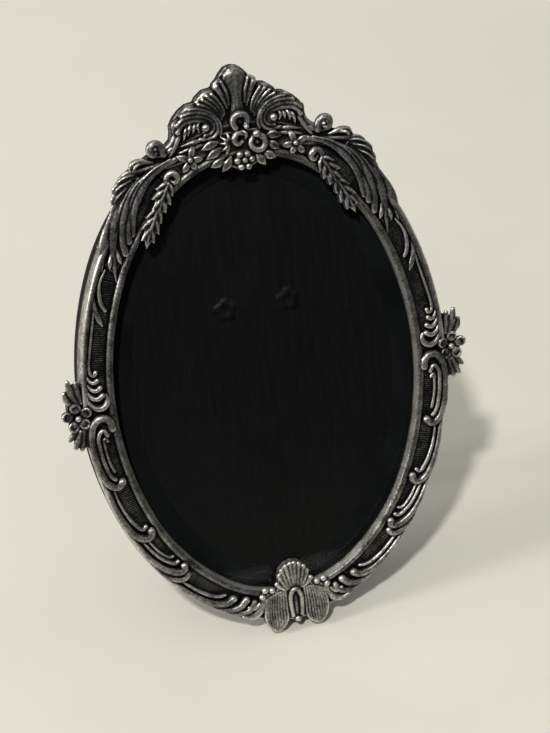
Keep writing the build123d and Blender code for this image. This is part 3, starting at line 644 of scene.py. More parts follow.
# %% Crest shell
CREST_EDGE = [
    (0, 84.6), (1.8, 84.2), (3.3, 82.7), (4.3, 81.3), (5.4, 80.4), (5.8, 79.5), (8.2, 79.2), (10.3, 77.6),
    (10.9, 76.6), (13.0, 76.3), (15.0, 75.0), (16.6, 73.4), (17.8, 71.4), (17.8, 69.8), (18.2, 68.0),
    (19.6, 66.8),
    (20.0, 61.0), (12.0, 62.5), (0, 62.5),
]
PLUME = (
    (71.5, 2.3), (73.0, 1.85), (74.5, 1.6), (76.0, 1.6), (77.2, 1.75), (78.4, 2.05), (79.6, 2.5), (80.6, 2.9),
    (81.4, 3.2),
)
PLUME_FINE = 5
PLUME_TOP = 3.4
PLUME_THICK = 1.25
PLUME_FLATTEST = 0.42
CREST_FLUTES = (
    (3.2, (0.3, 0.5, 0.45), ((2.0, 75.0), (2.4, 78.0), (3.5, 81.0))),
    (3.2, (0.35, 0.8, 0.95), ((2.6, 74.2), (3.4, 77.0), (4.8, 79.8))),
    (3.1, (0.22, 0.4, 0.5), ((3.4, 72.6), (3.9, 74.6), (4.9, 76.4), (6.3, 78.2))),
    (3.1, (0.22, 0.4, 0.5), ((3.8, 72.0), (4.6, 74.2), (5.9, 76.2), (7.6, 77.9))),
    (3.1, (0.22, 0.4, 0.5), ((4.2, 71.2), (5.2, 73.6), (6.8, 75.6), (8.8, 77.2))),
    (3.1, (0.22, 0.4, 0.5), ((4.6, 69.9), (5.1, 72.0), (6.5, 74.0), (8.2, 75.4), (10.0, 76.2))),
    (3.1, (0.5, 0.5, 0.4), ((12.4, 75.2), (10.2, 75.0), (7.6, 73.9), (5.8, 72.0), (4.9, 69.6), (5.2, 67.8))),
    (3.3, (0.6, 0.54, 0.45), (
        (14.6, 73.9), (12.2, 74.3), (9.6, 74.0), (6.9, 72.6), (5.7, 70.2), (6.4, 67.9), (8.6, 67.1),
        (10.6, 67.4),
    )),
    (3.5, (0.7, 0.54, 0.42), (
        (16.2, 71.8), (14.6, 72.9), (11.8, 73.3), (9.0, 72.8), (7.2, 71.6), (6.6, 69.9), (7.6, 68.4),
        (9.3, 68.1),
    )),
    (3.6, (0.7, 0.5, 0.4), (
        (16.2, 70.0), (15.2, 71.5), (12.8, 72.3), (10.0, 72.0), (8.2, 71.4), (7.7, 70.2), (8.3, 69.2),
        (9.4, 69.1),
    )),
    (3.3, (0.3, 0.44, 0.25), ((10.3, 71.9), (10.9, 70.7), (10.6, 69.3))),
    (3.3, (0.3, 0.5, 0.22), ((11.3, 71.8), (11.9, 70.6), (12.2, 69.2))),
    (3.3, (0.3, 0.5, 0.22), ((12.4, 71.8), (13.2, 70.4), (13.5, 68.7))),
    (3.3, (0.3, 0.52, 0.22), ((13.6, 71.3), (14.3, 69.9), (14.8, 67.6))),
    (3.3, (0.4, 0.8, 0.4), ((14.9, 70.6), (16.3, 68.4), (17.4, 66.4), (18.9, 64.2))),
    (3.1, (0.35, 0.7, 0.22), ((10.0, 67.0), (12.5, 66.9), (15.6, 66.2))),
    (3.0, (0.3, 0.65, 0.22), ((9.6, 65.9), (12.6, 65.6), (16.4, 64.6))),
    (2.8, (0.7, 0.85, 0.7), ((16.9, 69.2), (18.1, 67.3), (20.0, 66.1))),
)
CREST_ROLLS = (
    (2.9, (0.7, 0.95, 0.7), ((3.9, 81.2), (4.7, 80.5), (5.2, 79.6))),
    (2.8, (0.8, 1.1, 0.8), ((6.2, 78.4), (8.1, 78.0), (9.9, 76.7))),
    (2.9, (0.8, 1.25, 0.9), ((11.1, 75.3), (12.9, 74.9), (14.6, 73.8))),
    (3.2, (0.9, 1.7, 1.3), ((14.9, 73.0), (16.0, 71.6), (16.3, 70.4))),
)
crest = Relief("crest_shell", 1.6)
crest.plate(1.6, -1.6, CREST_EDGE + [(-x, z) for x, z in reversed(CREST_EDGE[1:-1])])
for (z, half_width), (next_z, next_half) in zip(PLUME[:-1], PLUME[1:]):
    for i in range(PLUME_FINE):
        share = i / PLUME_FINE
        half = half_width + share * (next_half - half_width)
        crest.ball(PLUME_TOP, half, (0, z + share * (next_z - z)), flat=max(PLUME_FLATTEST, PLUME_THICK / half))
crest.strokes(CREST_FLUTES)
crest.strokes(CREST_ROLLS, flat=0.6)
crest.balls(((4.1, 1.05, (8.95, 70.2)),))

# %% Bouquet at the foot of the crest
BOUQUET_EDGE = [
    (-8.6, 63.4), (-7.4, 61.2), (-5.0, 60.2), (-2.4, 58.6), (0, 58.2), (2.4, 58.6), (5.0, 60.2), (7.4, 61.2),
    (8.6, 63.4), (8.0, 68.0), (-8.0, 68.0),
]
BLOOMS = (
    (4.4, (0.8, 0.98, 0.75), (
        (-1.3, 69.0), (-1.8, 70.5), (-1.2, 71.9), (0.1, 72.4), (1.4, 71.9), (1.9, 70.6), (1.4, 69.3),
    )),
    (4.4, (0.55, 0.88, 0.55), (
        (0.5, 67.2), (-0.7, 67.6), (-1.8, 66.8), (-1.9, 65.5), (-1.0, 64.8), (0.1, 65.2),
    )),
    (4.0, (0.3, 0.45, 0.3), ((0.3, 68.1), (1.2, 67.2), (1.0, 65.9))),
    (4.4, (0.7, 0.9, 0.85), (
        (3.0, 66.0), (2.3, 64.9), (2.6, 63.5), (3.7, 62.7), (5.1, 62.9), (5.9, 64.1), (5.6, 65.5),
        (4.7, 66.3),
    )),
)
BOUQUET_LEAVES = (
    ((6.4, 65.5), (8.3, 65.9), (10.6, 65.0)), ((6.6, 64.2), (8.2, 63.2), (9.7, 61.7)),
    ((5.3, 62.0), (6.8, 60.8), (8.6, 59.8)), ((3.4, 61.8), (4.4, 60.1), (5.7, 58.2)),
    ((-6.2, 66.0), (-8.3, 65.6), (-10.6, 64.6)), ((-5.4, 64.4), (-7.4, 63.4), (-9.7, 62.0)),
    ((-5.2, 61.8), (-6.9, 60.7), (-8.7, 59.8)), ((-3.2, 61.8), (-4.4, 60.1), (-5.9, 58.2)),
)
DAISY_MIDDLE = (-3.0, 65.2)
DAISY_TIPS = ((-3.7, 68.4), (-5.3, 67.2), (-5.8, 65.6), (-5.7, 63.4), (-4.8, 61.9))
BERRIES = ((-1.0, 62.1), (0.9, 62.0), (-1.8, 60.6), (0.1, 60.5), (1.9, 60.6), (-1.0, 58.9), (0.9, 58.8))
crest.plate(2.3, 0.4, BOUQUET_EDGE)
crest.ground = 2.3
crest.strokes(BLOOMS, sides=(1,))
for places in BOUQUET_LEAVES:
    crest.petal(3.7, (0.35, 0.72, 0.2), places, sides=(1,))
for x, z in DAISY_TIPS:
    half = (0.45 * DAISY_MIDDLE[0] + 0.55 * x, 0.45 * DAISY_MIDDLE[1] + 0.55 * z)
    crest.stroke(3.7, (0.25, 0.42, 0.15), (DAISY_MIDDLE, half, (x, z)))
crest.balls([(4.4, 0.95, place) for place in BERRIES], sides=(1,))
crest.balls(((4.7, 1.05, (3.9, 66.8)), (4.5, 0.7, (1.5, 69.0)), (3.5, 1.3, (4.1, 64.4))), sides=(1,))


def petal_flower(relief, middle, tips, top, eye):
    """Pointed petals, each split by a groove, round a bead."""
    for x, z in tips:
        half = (middle[0] + 0.58 * (x - middle[0]), middle[1] + 0.58 * (z - middle[1]))
        relief.petal(top, (0.3, 0.55, 0.14), (middle, half, (x, z)))
    relief.ball(top + 0.6, eye, middle, sides=(1, -1))


# The crest is the largest region, so its skin is a little coarser than the others.
CREST_VOXEL = 0.19
FLOWER_MIDDLE = (14.03, 62.76)
FLOWER_TIPS = ((12.8, 66.3), (17.5, 64.1), (16.2, 59.5), (12.6, 59.8), (10.4, 62.5))
petal_flower(crest, FLOWER_MIDDLE, FLOWER_TIPS, 3.6, 0.7)
crest.cast(1.6, voxel=CREST_VOXEL)

# %% [markdown]
# ## Shoulders
# Two knobs curl out from the crest, then a long acanthus leaf sweeps down each shoulder, with a smaller spray
# that hangs over the sight edge and a thin scroll with a drop below.

# %% Shoulder leaves
SHOULDER_EDGE = (
    (16.5, 68.2), (19.8, 66.4), (23.5, 65.4), (29.0, 62.4), (31.4, 60.8), (33.4, 58.6), (34.4, 56.0),
    (34.6, 53.2),
    (37.0, 49.0), (40.4, 44.0), (39.6, 40.0), (36.9, 36.0), (33.6, 41.5), (32.0, 44.5), (29.5, 53.0),
    (24.0, 59.5),
    (17.0, 62.6),
)
SHOULDER_CURLS = (
    (3.5, (1.0, 1.22, 0.7), (
        (20.5, 65.1), (20.9, 66.9), (22.1, 67.9), (23.5, 67.4), (23.8, 66.2), (23.1, 65.2), (22.3, 65.5),
    )),
    (2.9, (0.5, 0.75, 0.45), ((16.6, 67.2), (18.6, 65.9), (20.4, 65.1), (22.6, 64.7))),
    (3.3, (0.5, 1.25, 0.75), ((23.6, 63.4), (26.6, 64.0), (28.5, 63.6), (29.2, 62.8))),
    (3.0, (0.4, 0.6, 0.55), ((20.5, 62.9), (24.6, 62.2), (28.7, 62.0))),
    (3.7, (0.25, 0.42, 0.4), ((26.2, 63.6), (27.8, 63.5), (28.5, 62.8))),
    (4.1, (0.7, 0.88, 0.5), (
        (20.7, 57.2), (20.7, 59.0), (19.5, 60.1), (18.2, 59.6), (17.9, 58.4), (18.9, 57.6), (19.6, 58.2),
    )),
    (2.9, (0.3, 0.6, 0.5), ((39.4, 38.0), (41.2, 35.2), (41.9, 32.0), (41.6, 29.0), (40.9, 27.5))),
    (3.6, (0.25, 0.42, 0.25), ((19.0, 63.6), (25.2, 60.8), (29.6, 56.0), (31.6, 51.0))),
    (3.6, (0.25, 0.4, 0.2), ((24.4, 61.6), (29.0, 58.2), (32.2, 53.4), (34.6, 46.5))),
    (3.5, (0.2, 0.38, 0.2), ((27.6, 60.2), (31.4, 56.4), (34.4, 51.0), (36.2, 44.0))),
    (3.5, (0.2, 0.34, 0.2), ((28.6, 61.2), (31.4, 60.9), (33.4, 59.6))),
    (3.5, (0.2, 0.34, 0.2), ((29.6, 59.8), (32.6, 58.9), (34.4, 57.2))),
    (3.5, (0.2, 0.34, 0.2), ((30.8, 58.2), (33.4, 56.6), (34.8, 54.8))),
)
SHOULDER_BLADES = (
    (3.5, (0.6, 1.0, 0.75), ((17.6, 63.4), (23.4, 60.9), (27.6, 56.6), (30.2, 51.4), (31.2, 46.0))),
    (3.3, (0.5, 0.85, 0.85), ((29.6, 55.0), (31.4, 50.4), (32.2, 46.8), (32.3, 44.4))),
    (3.4, (0.6, 1.0, 0.85), ((25.2, 61.0), (30.2, 56.4), (33.0, 50.6), (33.9, 45.0), (33.6, 41.4))),
    (3.4, (0.7, 1.35, 0.25), ((29.4, 59.0), (33.6, 53.4), (35.9, 47.6), (36.8, 41.4), (36.9, 34.4))),
    (3.0, (0.4, 0.6, 0.2), ((35.8, 42.6), (35.4, 40.2), (34.9, 38.6))),
    (3.0, (0.4, 0.6, 0.2), ((37.4, 41.6), (38.0, 39.6), (38.2, 37.8))),
    (3.2, (0.7, 1.25, 0.4), ((32.6, 56.6), (36.2, 50.6), (38.7, 45.4), (40.0, 40.6), (40.4, 38.0))),
    (3.1, (0.6, 1.1, 0.6), ((26.8, 61.6), (30.0, 61.6), (32.0, 60.6), (32.8, 59.6))),
    (3.1, (0.6, 1.1, 0.6), ((28.4, 60.4), (31.8, 59.8), (33.9, 58.3), (34.4, 57.0))),
    (3.1, (0.6, 1.1, 0.6), ((29.8, 59.0), (33.0, 57.6), (34.7, 55.6), (34.9, 54.4))),
    (3.0, (0.6, 1.05, 0.5), ((31.2, 57.0), (33.8, 54.9), (35.2, 52.9), (35.3, 51.6))),
    (2.8, (0.3, 1.0, 0.3), ((43.3, 31.8), (43.6, 28.4), (42.8, 25.2), (42.2, 23.4))),
)
SPRAYS = (
    (4.1, 2.7, ((20.4, 57.8), (21.9, 55.2), (23.2, 52.4), (24.2, 49.4))),
    (3.9, 2.5, ((24.0, 51.4), (25.6, 48.4), (27.1, 45.2), (28.2, 42.0))),
)
for side, hand in HANDS:
    shoulder = Relief("shoulder_" + hand, 1.7)
    one = (side,)
    shoulder.plate(1.7, -1.6, [(side * x, z) for x, z in SHOULDER_EDGE])
    shoulder.strokes(SHOULDER_CURLS, sides=one)
    shoulder.strokes(SHOULDER_BLADES, sides=one, flat=0.65)
    for top, width, places in SPRAYS:
        shoulder.leaf(top, width, places, sides=one)
    shoulder.cast(1.6)

# %% [markdown]
# ## Scrolls and side rosettes
# Below the leaves the channel holds a chain of C-scrolls that end in round knobs, and on each side a rosette of
# five petals sits between leaf sprays. Each side is one piece.

# %% Scrolls and rosettes
# Each place on a scroll is the heading it faces in degrees and its distance out from the sight edge.
SCROLLS = (
    (3.7, (1.1, 1.0, 1.12), (
        (-2.8, 2.2), (-1.4, 2.6), (-0.7, 4.4), (-1.2, 6.4), (-3.0, 7.8), (-6.7, 8.3), (-10.2, 8.1),
        (-12.4, 7.0),
        (-13.2, 5.2), (-12.6, 3.7),
    )),
    (3.4, (0.6, 0.6, 0.55), (
        (-3.7, 3.9), (-2.8, 4.8), (-3.3, 6.0), (-5.9, 6.6), (-9.0, 6.5), (-11.0, 6.0), (-11.8, 5.2),
    )),
    (3.0, (0.45, 0.42, 0.42), ((-4.8, 4.2), (-4.3, 4.8), (-5.4, 5.2), (-8.4, 5.2), (-10.4, 4.8))),
    (3.7, (0.5, 1.05, 1.15), (
        (-11.6, 8.2), (-14.6, 8.3), (-17.5, 8.3), (-20.5, 7.9), (-22.8, 7.0), (-24.7, 5.3), (-24.6, 3.8),
        (-23.5, 3.1),
    )),
    (3.2, (0.3, 0.58, 0.6), (
        (-13.6, 6.7), (-16.1, 6.8), (-18.7, 6.5), (-20.9, 5.8), (-22.2, 4.7), (-22.0, 3.7),
    )),
    (3.7, (0.5, 1.05, 1.1), (
        (-22.0, 8.3), (-26.8, 8.2), (-31.8, 7.7), (-36.1, 6.5), (-38.6, 4.8), (-39.0, 3.5), (-38.2, 2.8),
    )),
    (3.2, (0.35, 0.62, 0.58), ((-24.6, 6.7), (-29.4, 6.2), (-33.5, 5.1), (-35.7, 3.9), (-35.9, 3.0))),
    (2.9, (0.3, 0.48, 0.42), ((-25.6, 5.4), (-30.7, 4.8), (-33.4, 3.8), (-33.8, 3.0))),
    (3.4, (0.5, 0.95, 0.95), ((-32.5, 8.4), (-36.2, 8.2), (-39.4, 7.0), (-41.0, 5.2), (-40.8, 4.0))),
    (3.7, (0.5, 1.05, 1.15), (
        (-37.0, 8.3), (-42.5, 8.2), (-48.3, 7.8), (-53.3, 7.0), (-57.5, 5.7), (-59.0, 4.2),
    )),
    (3.2, (0.3, 0.58, 0.45), ((-38.9, 6.7), (-43.5, 6.5), (-48.5, 6.0), (-52.3, 5.1), (-54.8, 4.0))),
    (3.7, (0.5, 1.0, 1.1), ((-52.0, 8.3), (-58.3, 7.9), (-63.5, 6.0), (-65.4, 3.5))),
    (3.6, (0.5, 1.0, 1.0), ((-57.0, 8.4), (-64.0, 7.9), (-68.6, 6.2), (-69.7, 4.0))),
    (3.6, (0.5, 0.98, 1.0), ((-62.5, 8.4), (-68.4, 8.2), (-72.4, 6.6), (-73.8, 4.0), (-73.4, 2.2))),
)
# The hooks above the rosette are placed by X and Z.
HOOKS = (
    (3.0, (0.4, 0.5, 0.62), (
        (43.6, 29.0), (45.5, 21.5), (46.7, 16.5), (47.4, 12.9), (47.1, 11.2), (46.3, 10.8), (45.8, 11.6),
    )),
    (3.5, (0.35, 0.6, 0.65), ((48.5, 11.6), (47.8, 9.7), (46.7, 9.0), (45.8, 9.5))),
    (3.5, (0.35, 0.68, 0.72), ((48.8, 9.6), (47.8, 7.5), (46.4, 6.8), (45.3, 7.4))),
    (3.5, (0.4, 0.75, 0.78), ((49.0, 7.7), (48.0, 5.3), (46.4, 4.5), (45.0, 5.2))),
    (3.6, (0.45, 0.95, 0.7), ((49.3, 6.0), (48.2, 3.0), (46.4, 1.7), (44.7, 2.1), (43.8, 3.6), (44.0, 4.8))),
)
ROSETTE_MIDDLE = (52.0, 0.0)
ROSETTE_GROUND = (
    (49.5, 6.5), (51.6, 8.4), (53.4, 7.6), (54.2, 4.4), (54.6, 0.4), (53.8, -4.0), (52.8, -7.0),
    (51.2, -7.4), (49.5, -6.0),
)
ROSETTE_PETALS = ((52.4, 2.7), (49.8, 1.2), (50.5, -1.8), (53.4, -2.1), (54.8, 0.8))
PETAL_RING = 1.15
RING_START = 2
RING_SPAN = 4
ROSETTE_LEAVES = (
    (2.9, (0.8, 1.1, 0.75), ((51.8, 4.0), (53.0, 7.4), (53.5, 10.2))),
    (2.7, (0.7, 0.95, 0.7), ((50.8, 4.2), (51.3, 7.0), (51.4, 9.6))),
    (2.7, (0.8, 1.1, 0.75), ((52.6, 3.8), (54.2, 5.4), (54.7, 7.2))),
    (2.6, (0.7, 0.9, 0.6), ((52.8, -3.6), (54.0, -4.6), (55.0, -5.7))),
    (2.9, (0.8, 1.05, 0.7), ((51.9, -3.8), (53.0, -6.2), (53.8, -8.0))),
    (2.8, (0.8, 0.95, 0.7), ((51.0, -3.8), (51.7, -6.6), (52.2, -8.6))),
    (2.6, (0.6, 0.75, 0.6), ((50.2, -3.6), (50.5, -6.2), (50.7, -8.0))),
)


def arc_places(middle, radius, first, span, count=6):
    """Places along a part of a circle, from a first turn over a span."""
    turns = [first + span * i / count for i in range(count + 1)]
    return [(middle[0] + radius * cos(turn), middle[1] + radius * sin(turn)) for turn in turns]


for side, hand in HANDS:
    rail = Relief("rail_" + hand, 1.2)
    one = (side,)
    for top, radii, places in SCROLLS:
        rail.stroke(top, radii, [oval_point(*place) for place in places], one)
    rail.strokes(HOOKS, sides=one)
    rail.plate(0.4, -2.4, [(side * x, z) for x, z in ROSETTE_GROUND])
    rail.ground = 0.4
    for place in ROSETTE_PETALS:
        outward = atan2(place[1] - ROSETTE_MIDDLE[1], place[0] - ROSETTE_MIDDLE[0])
        rail.ball(2.5, 1.65, place, one, flat=0.5)
        ring = arc_places(place, PETAL_RING, outward - RING_START, RING_SPAN)
        rail.stroke(2.9, (0.3, 0.5, 0.3), ring, one, sink=0.5)
    rail.ball(3.3, 0.9, ROSETTE_MIDDLE, one)
    for top, radii, places in ROSETTE_LEAVES:
        rail.stroke(top, radii, places, one, 0.8, 0.4)
    rail.cast(2.4)

# %% [markdown]
# ## Base shell
# At the bottom a small fan rises over the sight edge, and two finely fluted lobes below it are the feet that
# the frame stands on. A loop with a bead joins them.

# %% Base shell
BASE_FAN_EDGE = [(0, -52.9), (2.0, -53.4), (3.6, -54.8), (4.3, -56.6), (4.4, -58.6), (5.4, -61.0)]
FOOT_EDGE = (
    (2.0, -61.0), (8.0, -61.0), (9.2, -64.0), (9.4, -68.0), (8.9, -70.6), (7.8, -72.5), (6.4, -73.2),
    (5.0, -73.0),
    (3.6, -71.9), (2.4, -70.0), (0, -70.6), (0, -61.0),
)
FAN_FLUTES = (
    ((0.3, -60.8), (0.4, -56.5), (0.55, -53.5)), ((0.9, -60.8), (1.5, -56.8), (1.9, -54.0)),
    ((1.5, -60.8), (2.6, -57.4), (3.2, -55.0)), ((2.0, -60.8), (3.4, -58.2), (4.0, -56.4)),
    ((2.6, -61.0), (4.0, -59.8), (4.9, -58.8)),
)
FOOT_FLUTES = 9
FOOT_INNER = ((2.7, -61.2), (2.8, -66.4), (2.9, -69.4), (3.6, -71.3))
FOOT_MIDDLE = ((5.5, -61.7), (6.1, -66.8), (6.1, -70.4), (6.2, -72.7))
FOOT_OUTER = ((8.3, -62.8), (8.9, -66.0), (8.9, -68.8), (8.3, -70.9))
LOOP = ((-1.3, -69.0), (-1.6, -65.6), (-1.3, -62.6), (0, -61.1), (1.3, -62.6), (1.6, -65.6), (1.3, -69.0))
# The base is made a little brighter than the rest, so it counts as lifted.
BASE_SUNK = -0.04


def between_flutes(share):
    """A line of the foot, a share of the way from its inner line by the middle one to its outer line."""
    parts = ((1 - share) * (1 - 2 * share), 4 * share * (1 - share), share * (2 * share - 1))
    line = []
    for row in zip(FOOT_INNER, FOOT_MIDDLE, FOOT_OUTER):
        x = sum(part * place[0] for part, place in zip(parts, row))
        z = sum(part * place[1] for part, place in zip(parts, row))
        line.append((x, z))
    return line


foot_flutes = [between_flutes(i / (FOOT_FLUTES - 1)) for i in range(FOOT_FLUTES)]
base = Relief("base_shell", 3.0)
base.plate(3.0, 0.4, BASE_FAN_EDGE + [(-x, z) for x, z in reversed(BASE_FAN_EDGE[1:])])
for side in (1, -1):
    base.plate(3.0, -4.4, [(side * x, z) for x, z in FOOT_EDGE])
base.strokes([(3.5, (0.48, 0.62, 0.74), places) for places in FAN_FLUTES], flat=0.7)
base.strokes([(3.4, (0.36, 0.46, 0.38), places) for places in foot_flutes])
base.strokes((
    (3.4, (0.5, 0.85, 0.6), ((15.4, -66.2), (12.8, -67.2), (10.6, -66.4), (9.4, -64.0))),
    (3.6, (0.5, 0.75, 0.5), ((13.6, -63.8), (11.8, -64.4), (10.4, -63.4))),
))
base.stroke(4.0, (0.6, 0.75, 0.6), LOOP)
base.stroke(3.2, (0.4, 0.5, 0.4), ((0, -63.4), (0, -66.4), (0, -69.0)))
base.balls(((4.0, 1.0, (8.5, -59.8)), (4.0, 0.95, (6.5, -60.2)), (3.9, 1.0, (9.4, -61.6))))
base.balls(((4.0, 1.0, (0, -70.3)),), sides=(1,))
base.cast(4.4, sunk=BASE_SUNK)

# %% [markdown]
# ## Hatched channel
# Between the ornaments the channel floor is hatched crosswise with fine cuts. A small bar is set again and
# again along each side of the oval.

# %% Hatching
HATCH_PITCH = 0.62
HATCH_OUT = 4.35
HATCH_SIZE = (3.5, 0.34, 0.34)
HATCH_SUNK = -0.01
AHEAD = 0.1
HATCH_SPANS = ((-62, 62), (118, 242))
bm = bmesh.new()
for first, last in HATCH_SPANS:
    heading = first
    while heading < last:
        x, z = oval_point(heading, HATCH_OUT)
        ahead = oval_point(heading + AHEAD, HATCH_OUT)
        speed = hypot(ahead[0] - x, ahead[1] - z) / AHEAD
        place = Matrix.Translation((x, -CHANNEL_RISE, z)) @ Matrix.Rotation(-radians(heading), 4, "Y")
        bmesh.ops.create_cube(bm, size=1.0, matrix=place @ Matrix.Diagonal((*HATCH_SIZE, 1)))
        heading += HATCH_PITCH / speed
mark_rub(bm, 0, HATCH_SUNK)
finish_piece(bm, "channel_hatching", cast_metal, sharp=30)

# %% [markdown]
# ## Glass, lining, velvet and steel
# The pane is clear. Behind it the back shows a black paper lining with fine upright streaks, raised over the
# petals of two eyelets, inside a border of turned-in cloth. The back and the leg are black velvet, and the
# hinge is plain steel.


# %% Finishes behind the glass
def make_glass():
    """Clear thin pane: what is behind it shows straight through, with a weak mirror over it."""
    material, tree = new_material("clear glass")
    tint = ramp(tree, noise(tree, 0.02, 2.0), ((0.3, (0.93, 0.96, 0.945)), (0.7, (0.95, 0.975, 0.96))))
    smear = ramp(tree, noise(tree, 0.05, 4.0, 0.6), ((0.45, 0.02), (0.8, 0.09)))
    clear = add_node(tree, "ShaderNodeBsdfTransparent", {"Color": tint})
    mirror = add_node(tree, "ShaderNodeBsdfGlossy", {"Roughness": smear})
    edge = add_node(tree, "ShaderNodeFresnel")
    edge.inputs["IOR"].default_value = 1.27
    both = add_node(tree, "ShaderNodeMixShader")
    tree.links.new(edge.outputs[0], both.inputs[0])
    tree.links.new(clear.outputs[0], both.inputs[1])
    tree.links.new(mirror.outputs[0], both.inputs[2])
    output(tree, both.outputs[0])
    return material


def make_lining_paper():
    """Black paper with fine upright streaks."""
    material, tree = new_material("black lining paper")
    streak = noise(tree, 1.0, 4.0, 0.6, stretch=(2.2, 0.4, 0.10))
    cloud = noise(tree, 0.06, 4.0)
    colour = ramp(tree, streak, ((0.38, (0.0026, 0.0026, 0.0027)), (0.70, (0.0100, 0.0098, 0.0096))))
    colour = mix_colour(tree, math_node(tree, "MULTIPLY", cloud, 0.6), colour, (0.0042, 0.0042, 0.0043))
    bump = add_node(tree, "ShaderNodeBump", {"Height": streak, "Strength": 0.8, "Distance": 0.2 * MM})
    dull = ramp(tree, cloud, ((0.3, 0.42), (0.7, 0.58)))
    shader = add_node(tree, "ShaderNodeBsdfPrincipled", {
        "Base Color": colour, "Roughness": dull, "Normal": bump.outputs[0],
    })
    shader.inputs["Specular IOR Level"].default_value = 0.3
    output(tree, shader.outputs[0])
    return material


def make_velvet():
    """Short black pile with a soft sheen, brushed lighter and darker in patches."""
    material, tree = new_material("black velvet")
    pile = noise(tree, 4.0, 2.0)
    brushed = noise(tree, 0.10, 3.0, stretch=(1, 1, 0.5))
    colour = ramp(tree, brushed, ((0.35, (0.0055, 0.0055, 0.006)), (0.7, (0.013, 0.013, 0.0145))))
    dull = ramp(tree, brushed, ((0.3, 0.85), (0.7, 1.0)))
    bump = add_node(tree, "ShaderNodeBump", {"Height": pile, "Strength": 0.45, "Distance": 0.12 * MM})
    shader = add_node(tree, "ShaderNodeBsdfPrincipled", {
        "Base Color": colour, "Roughness": dull, "Normal": bump.outputs[0],
    })
    shader.inputs["Sheen Weight"].default_value = 0.07
    shader.inputs["Sheen Roughness"].default_value = 0.35
    shader.inputs["Specular IOR Level"].default_value = 0.1
    output(tree, shader.outputs[0])
    return material


def make_steel(name, bright, dark, dull):
    """Stamped steel with brushing along one way and dark handling marks."""
    material, tree = new_material(name)
    brush = noise(tree, 1.0, 3.0, stretch=(0.15, 2.0, 3.0))
    mark = noise(tree, 0.25, 4.0)
    colour = mix_colour(tree, ramp(tree, mark, ((0.4, 0.0), (0.75, 1.0))), bright, dark)
    rough = math_node(tree, "MULTIPLY_ADD", brush, 0.22)
    tree.nodes[-1].inputs[2].default_value = dull
    shader = add_node(tree, "ShaderNodeBsdfPrincipled", {
        "Base Color": colour, "Roughness": rough, "Metallic": 1.0,
    })
    output(tree, shader.outputs[0])
    return material


def make_card():
    """Grey-brown board."""
    material, tree = new_material("grey board")
    fibre = noise(tree, 1.2, 4.0, stretch=(1, 1, 0.3))
    colour = ramp(tree, fibre, ((0.3, (0.24, 0.19, 0.14)), (0.7, (0.36, 0.30, 0.23))))
    shader = add_node(tree, "ShaderNodeBsdfPrincipled", {"Base Color": colour, "Roughness": 0.9})
    output(tree, shader.outputs[0])
    return material


finishes = {
    "glass": make_glass(),
    "lining_paper": make_lining_paper(),
    "velvet": make_velvet(),
    "hinge_metal": make_steel("stamped steel", (0.42, 0.42, 0.41), (0.20, 0.195, 0.19), 0.28),
    "rivet_metal": make_steel("rivet steel", (0.52, 0.51, 0.49), (0.26, 0.25, 0.24), 0.25),
    "card": make_card(),
    "cast_metal": cast_metal,
}

# %% Put the finishes on the CAD pieces
for row in frame["record"]["subparts"]:
    node = frame["nodes"][row["node"]]
    node.data.materials.clear()
    node.data.materials.append(finishes[row["material_slot"]])
print("finishes:", sorted(finishes))

# %% [markdown]
# ## Lining and velvet
# The back is a card wrapped in velvet. The cloth runs over the edge and is turned in round the front, and the
# lining paper is glued inside that border, its edge just under the cloth. The paper was pressed over the petals
# of two eyelets, which show as bumps, and it has cockled a little. The leg is a second card in velvet. Each
# cloth is a thin shell, as the real one is.

# %% Oval sheets
BACK_FRONT = 2.3
BACK_REAR = 5.1
CLOTH = 0.35


def oval_disc(bm, out, depth, rings, steps):
    """A disc that fills the oval, pushed out, at a depth. Its rings shrink to the middle."""
    spoke = [bm.verts.new((i / rings, 0, 0)) for i in range(rings + 1)]
    edges = [bm.edges.new(pair) for pair in zip(spoke[:-1], spoke[1:])]
    bmesh.ops.spin(
        bm, geom=spoke + edges, cent=(0, 0, 0), axis=(0, -1, 0), angle=2 * pi, steps=steps, use_merge=True,
    )
    bmesh.ops.remove_doubles(bm, verts=bm.verts, dist=0.0001)
    for vert in bm.verts:
        share = hypot(vert.co.x, vert.co.z)
        x, z = oval_point(degrees(atan2(vert.co.z, vert.co.x)), out)
        vert.co = (share * x, depth, share * z)
    bmesh.ops.recalc_face_normals(bm, faces=bm.faces)


def thicken(piece):
    """Gives cloth its thickness, to the inside."""
    shell = piece.modifiers.new("cloth thickness", "SOLIDIFY")
    shell.thickness = CLOTH * MM
    shell.offset = -1.0


# %% Lining paper
LINING_OUT = -5.2
LINING_HALF_W = SIGHT_HALF_W + LINING_OUT
LINING_HALF_H = SIGHT_HALF_H + LINING_OUT
LINING_DEPTH = BACK_FRONT + 0.05
LINING_PRESS = 0.06
LINING_RINGS = 120
LINING_STEPS = 300
EYELET_PETALS = 5
EYELETS = ((-8.65, 20.3), (8.65, 20.3))
BUMP_RISE = 0.42
BUMP_R = 2.15
BUMP_WAVE = 1.0
BUMP_SOFT = 0.35
DIMPLE_R = 1.5
DIMPLE_SOFT = 0.6
DIMPLE_DEPTH = 0.22
COCKLE_FADE = 6


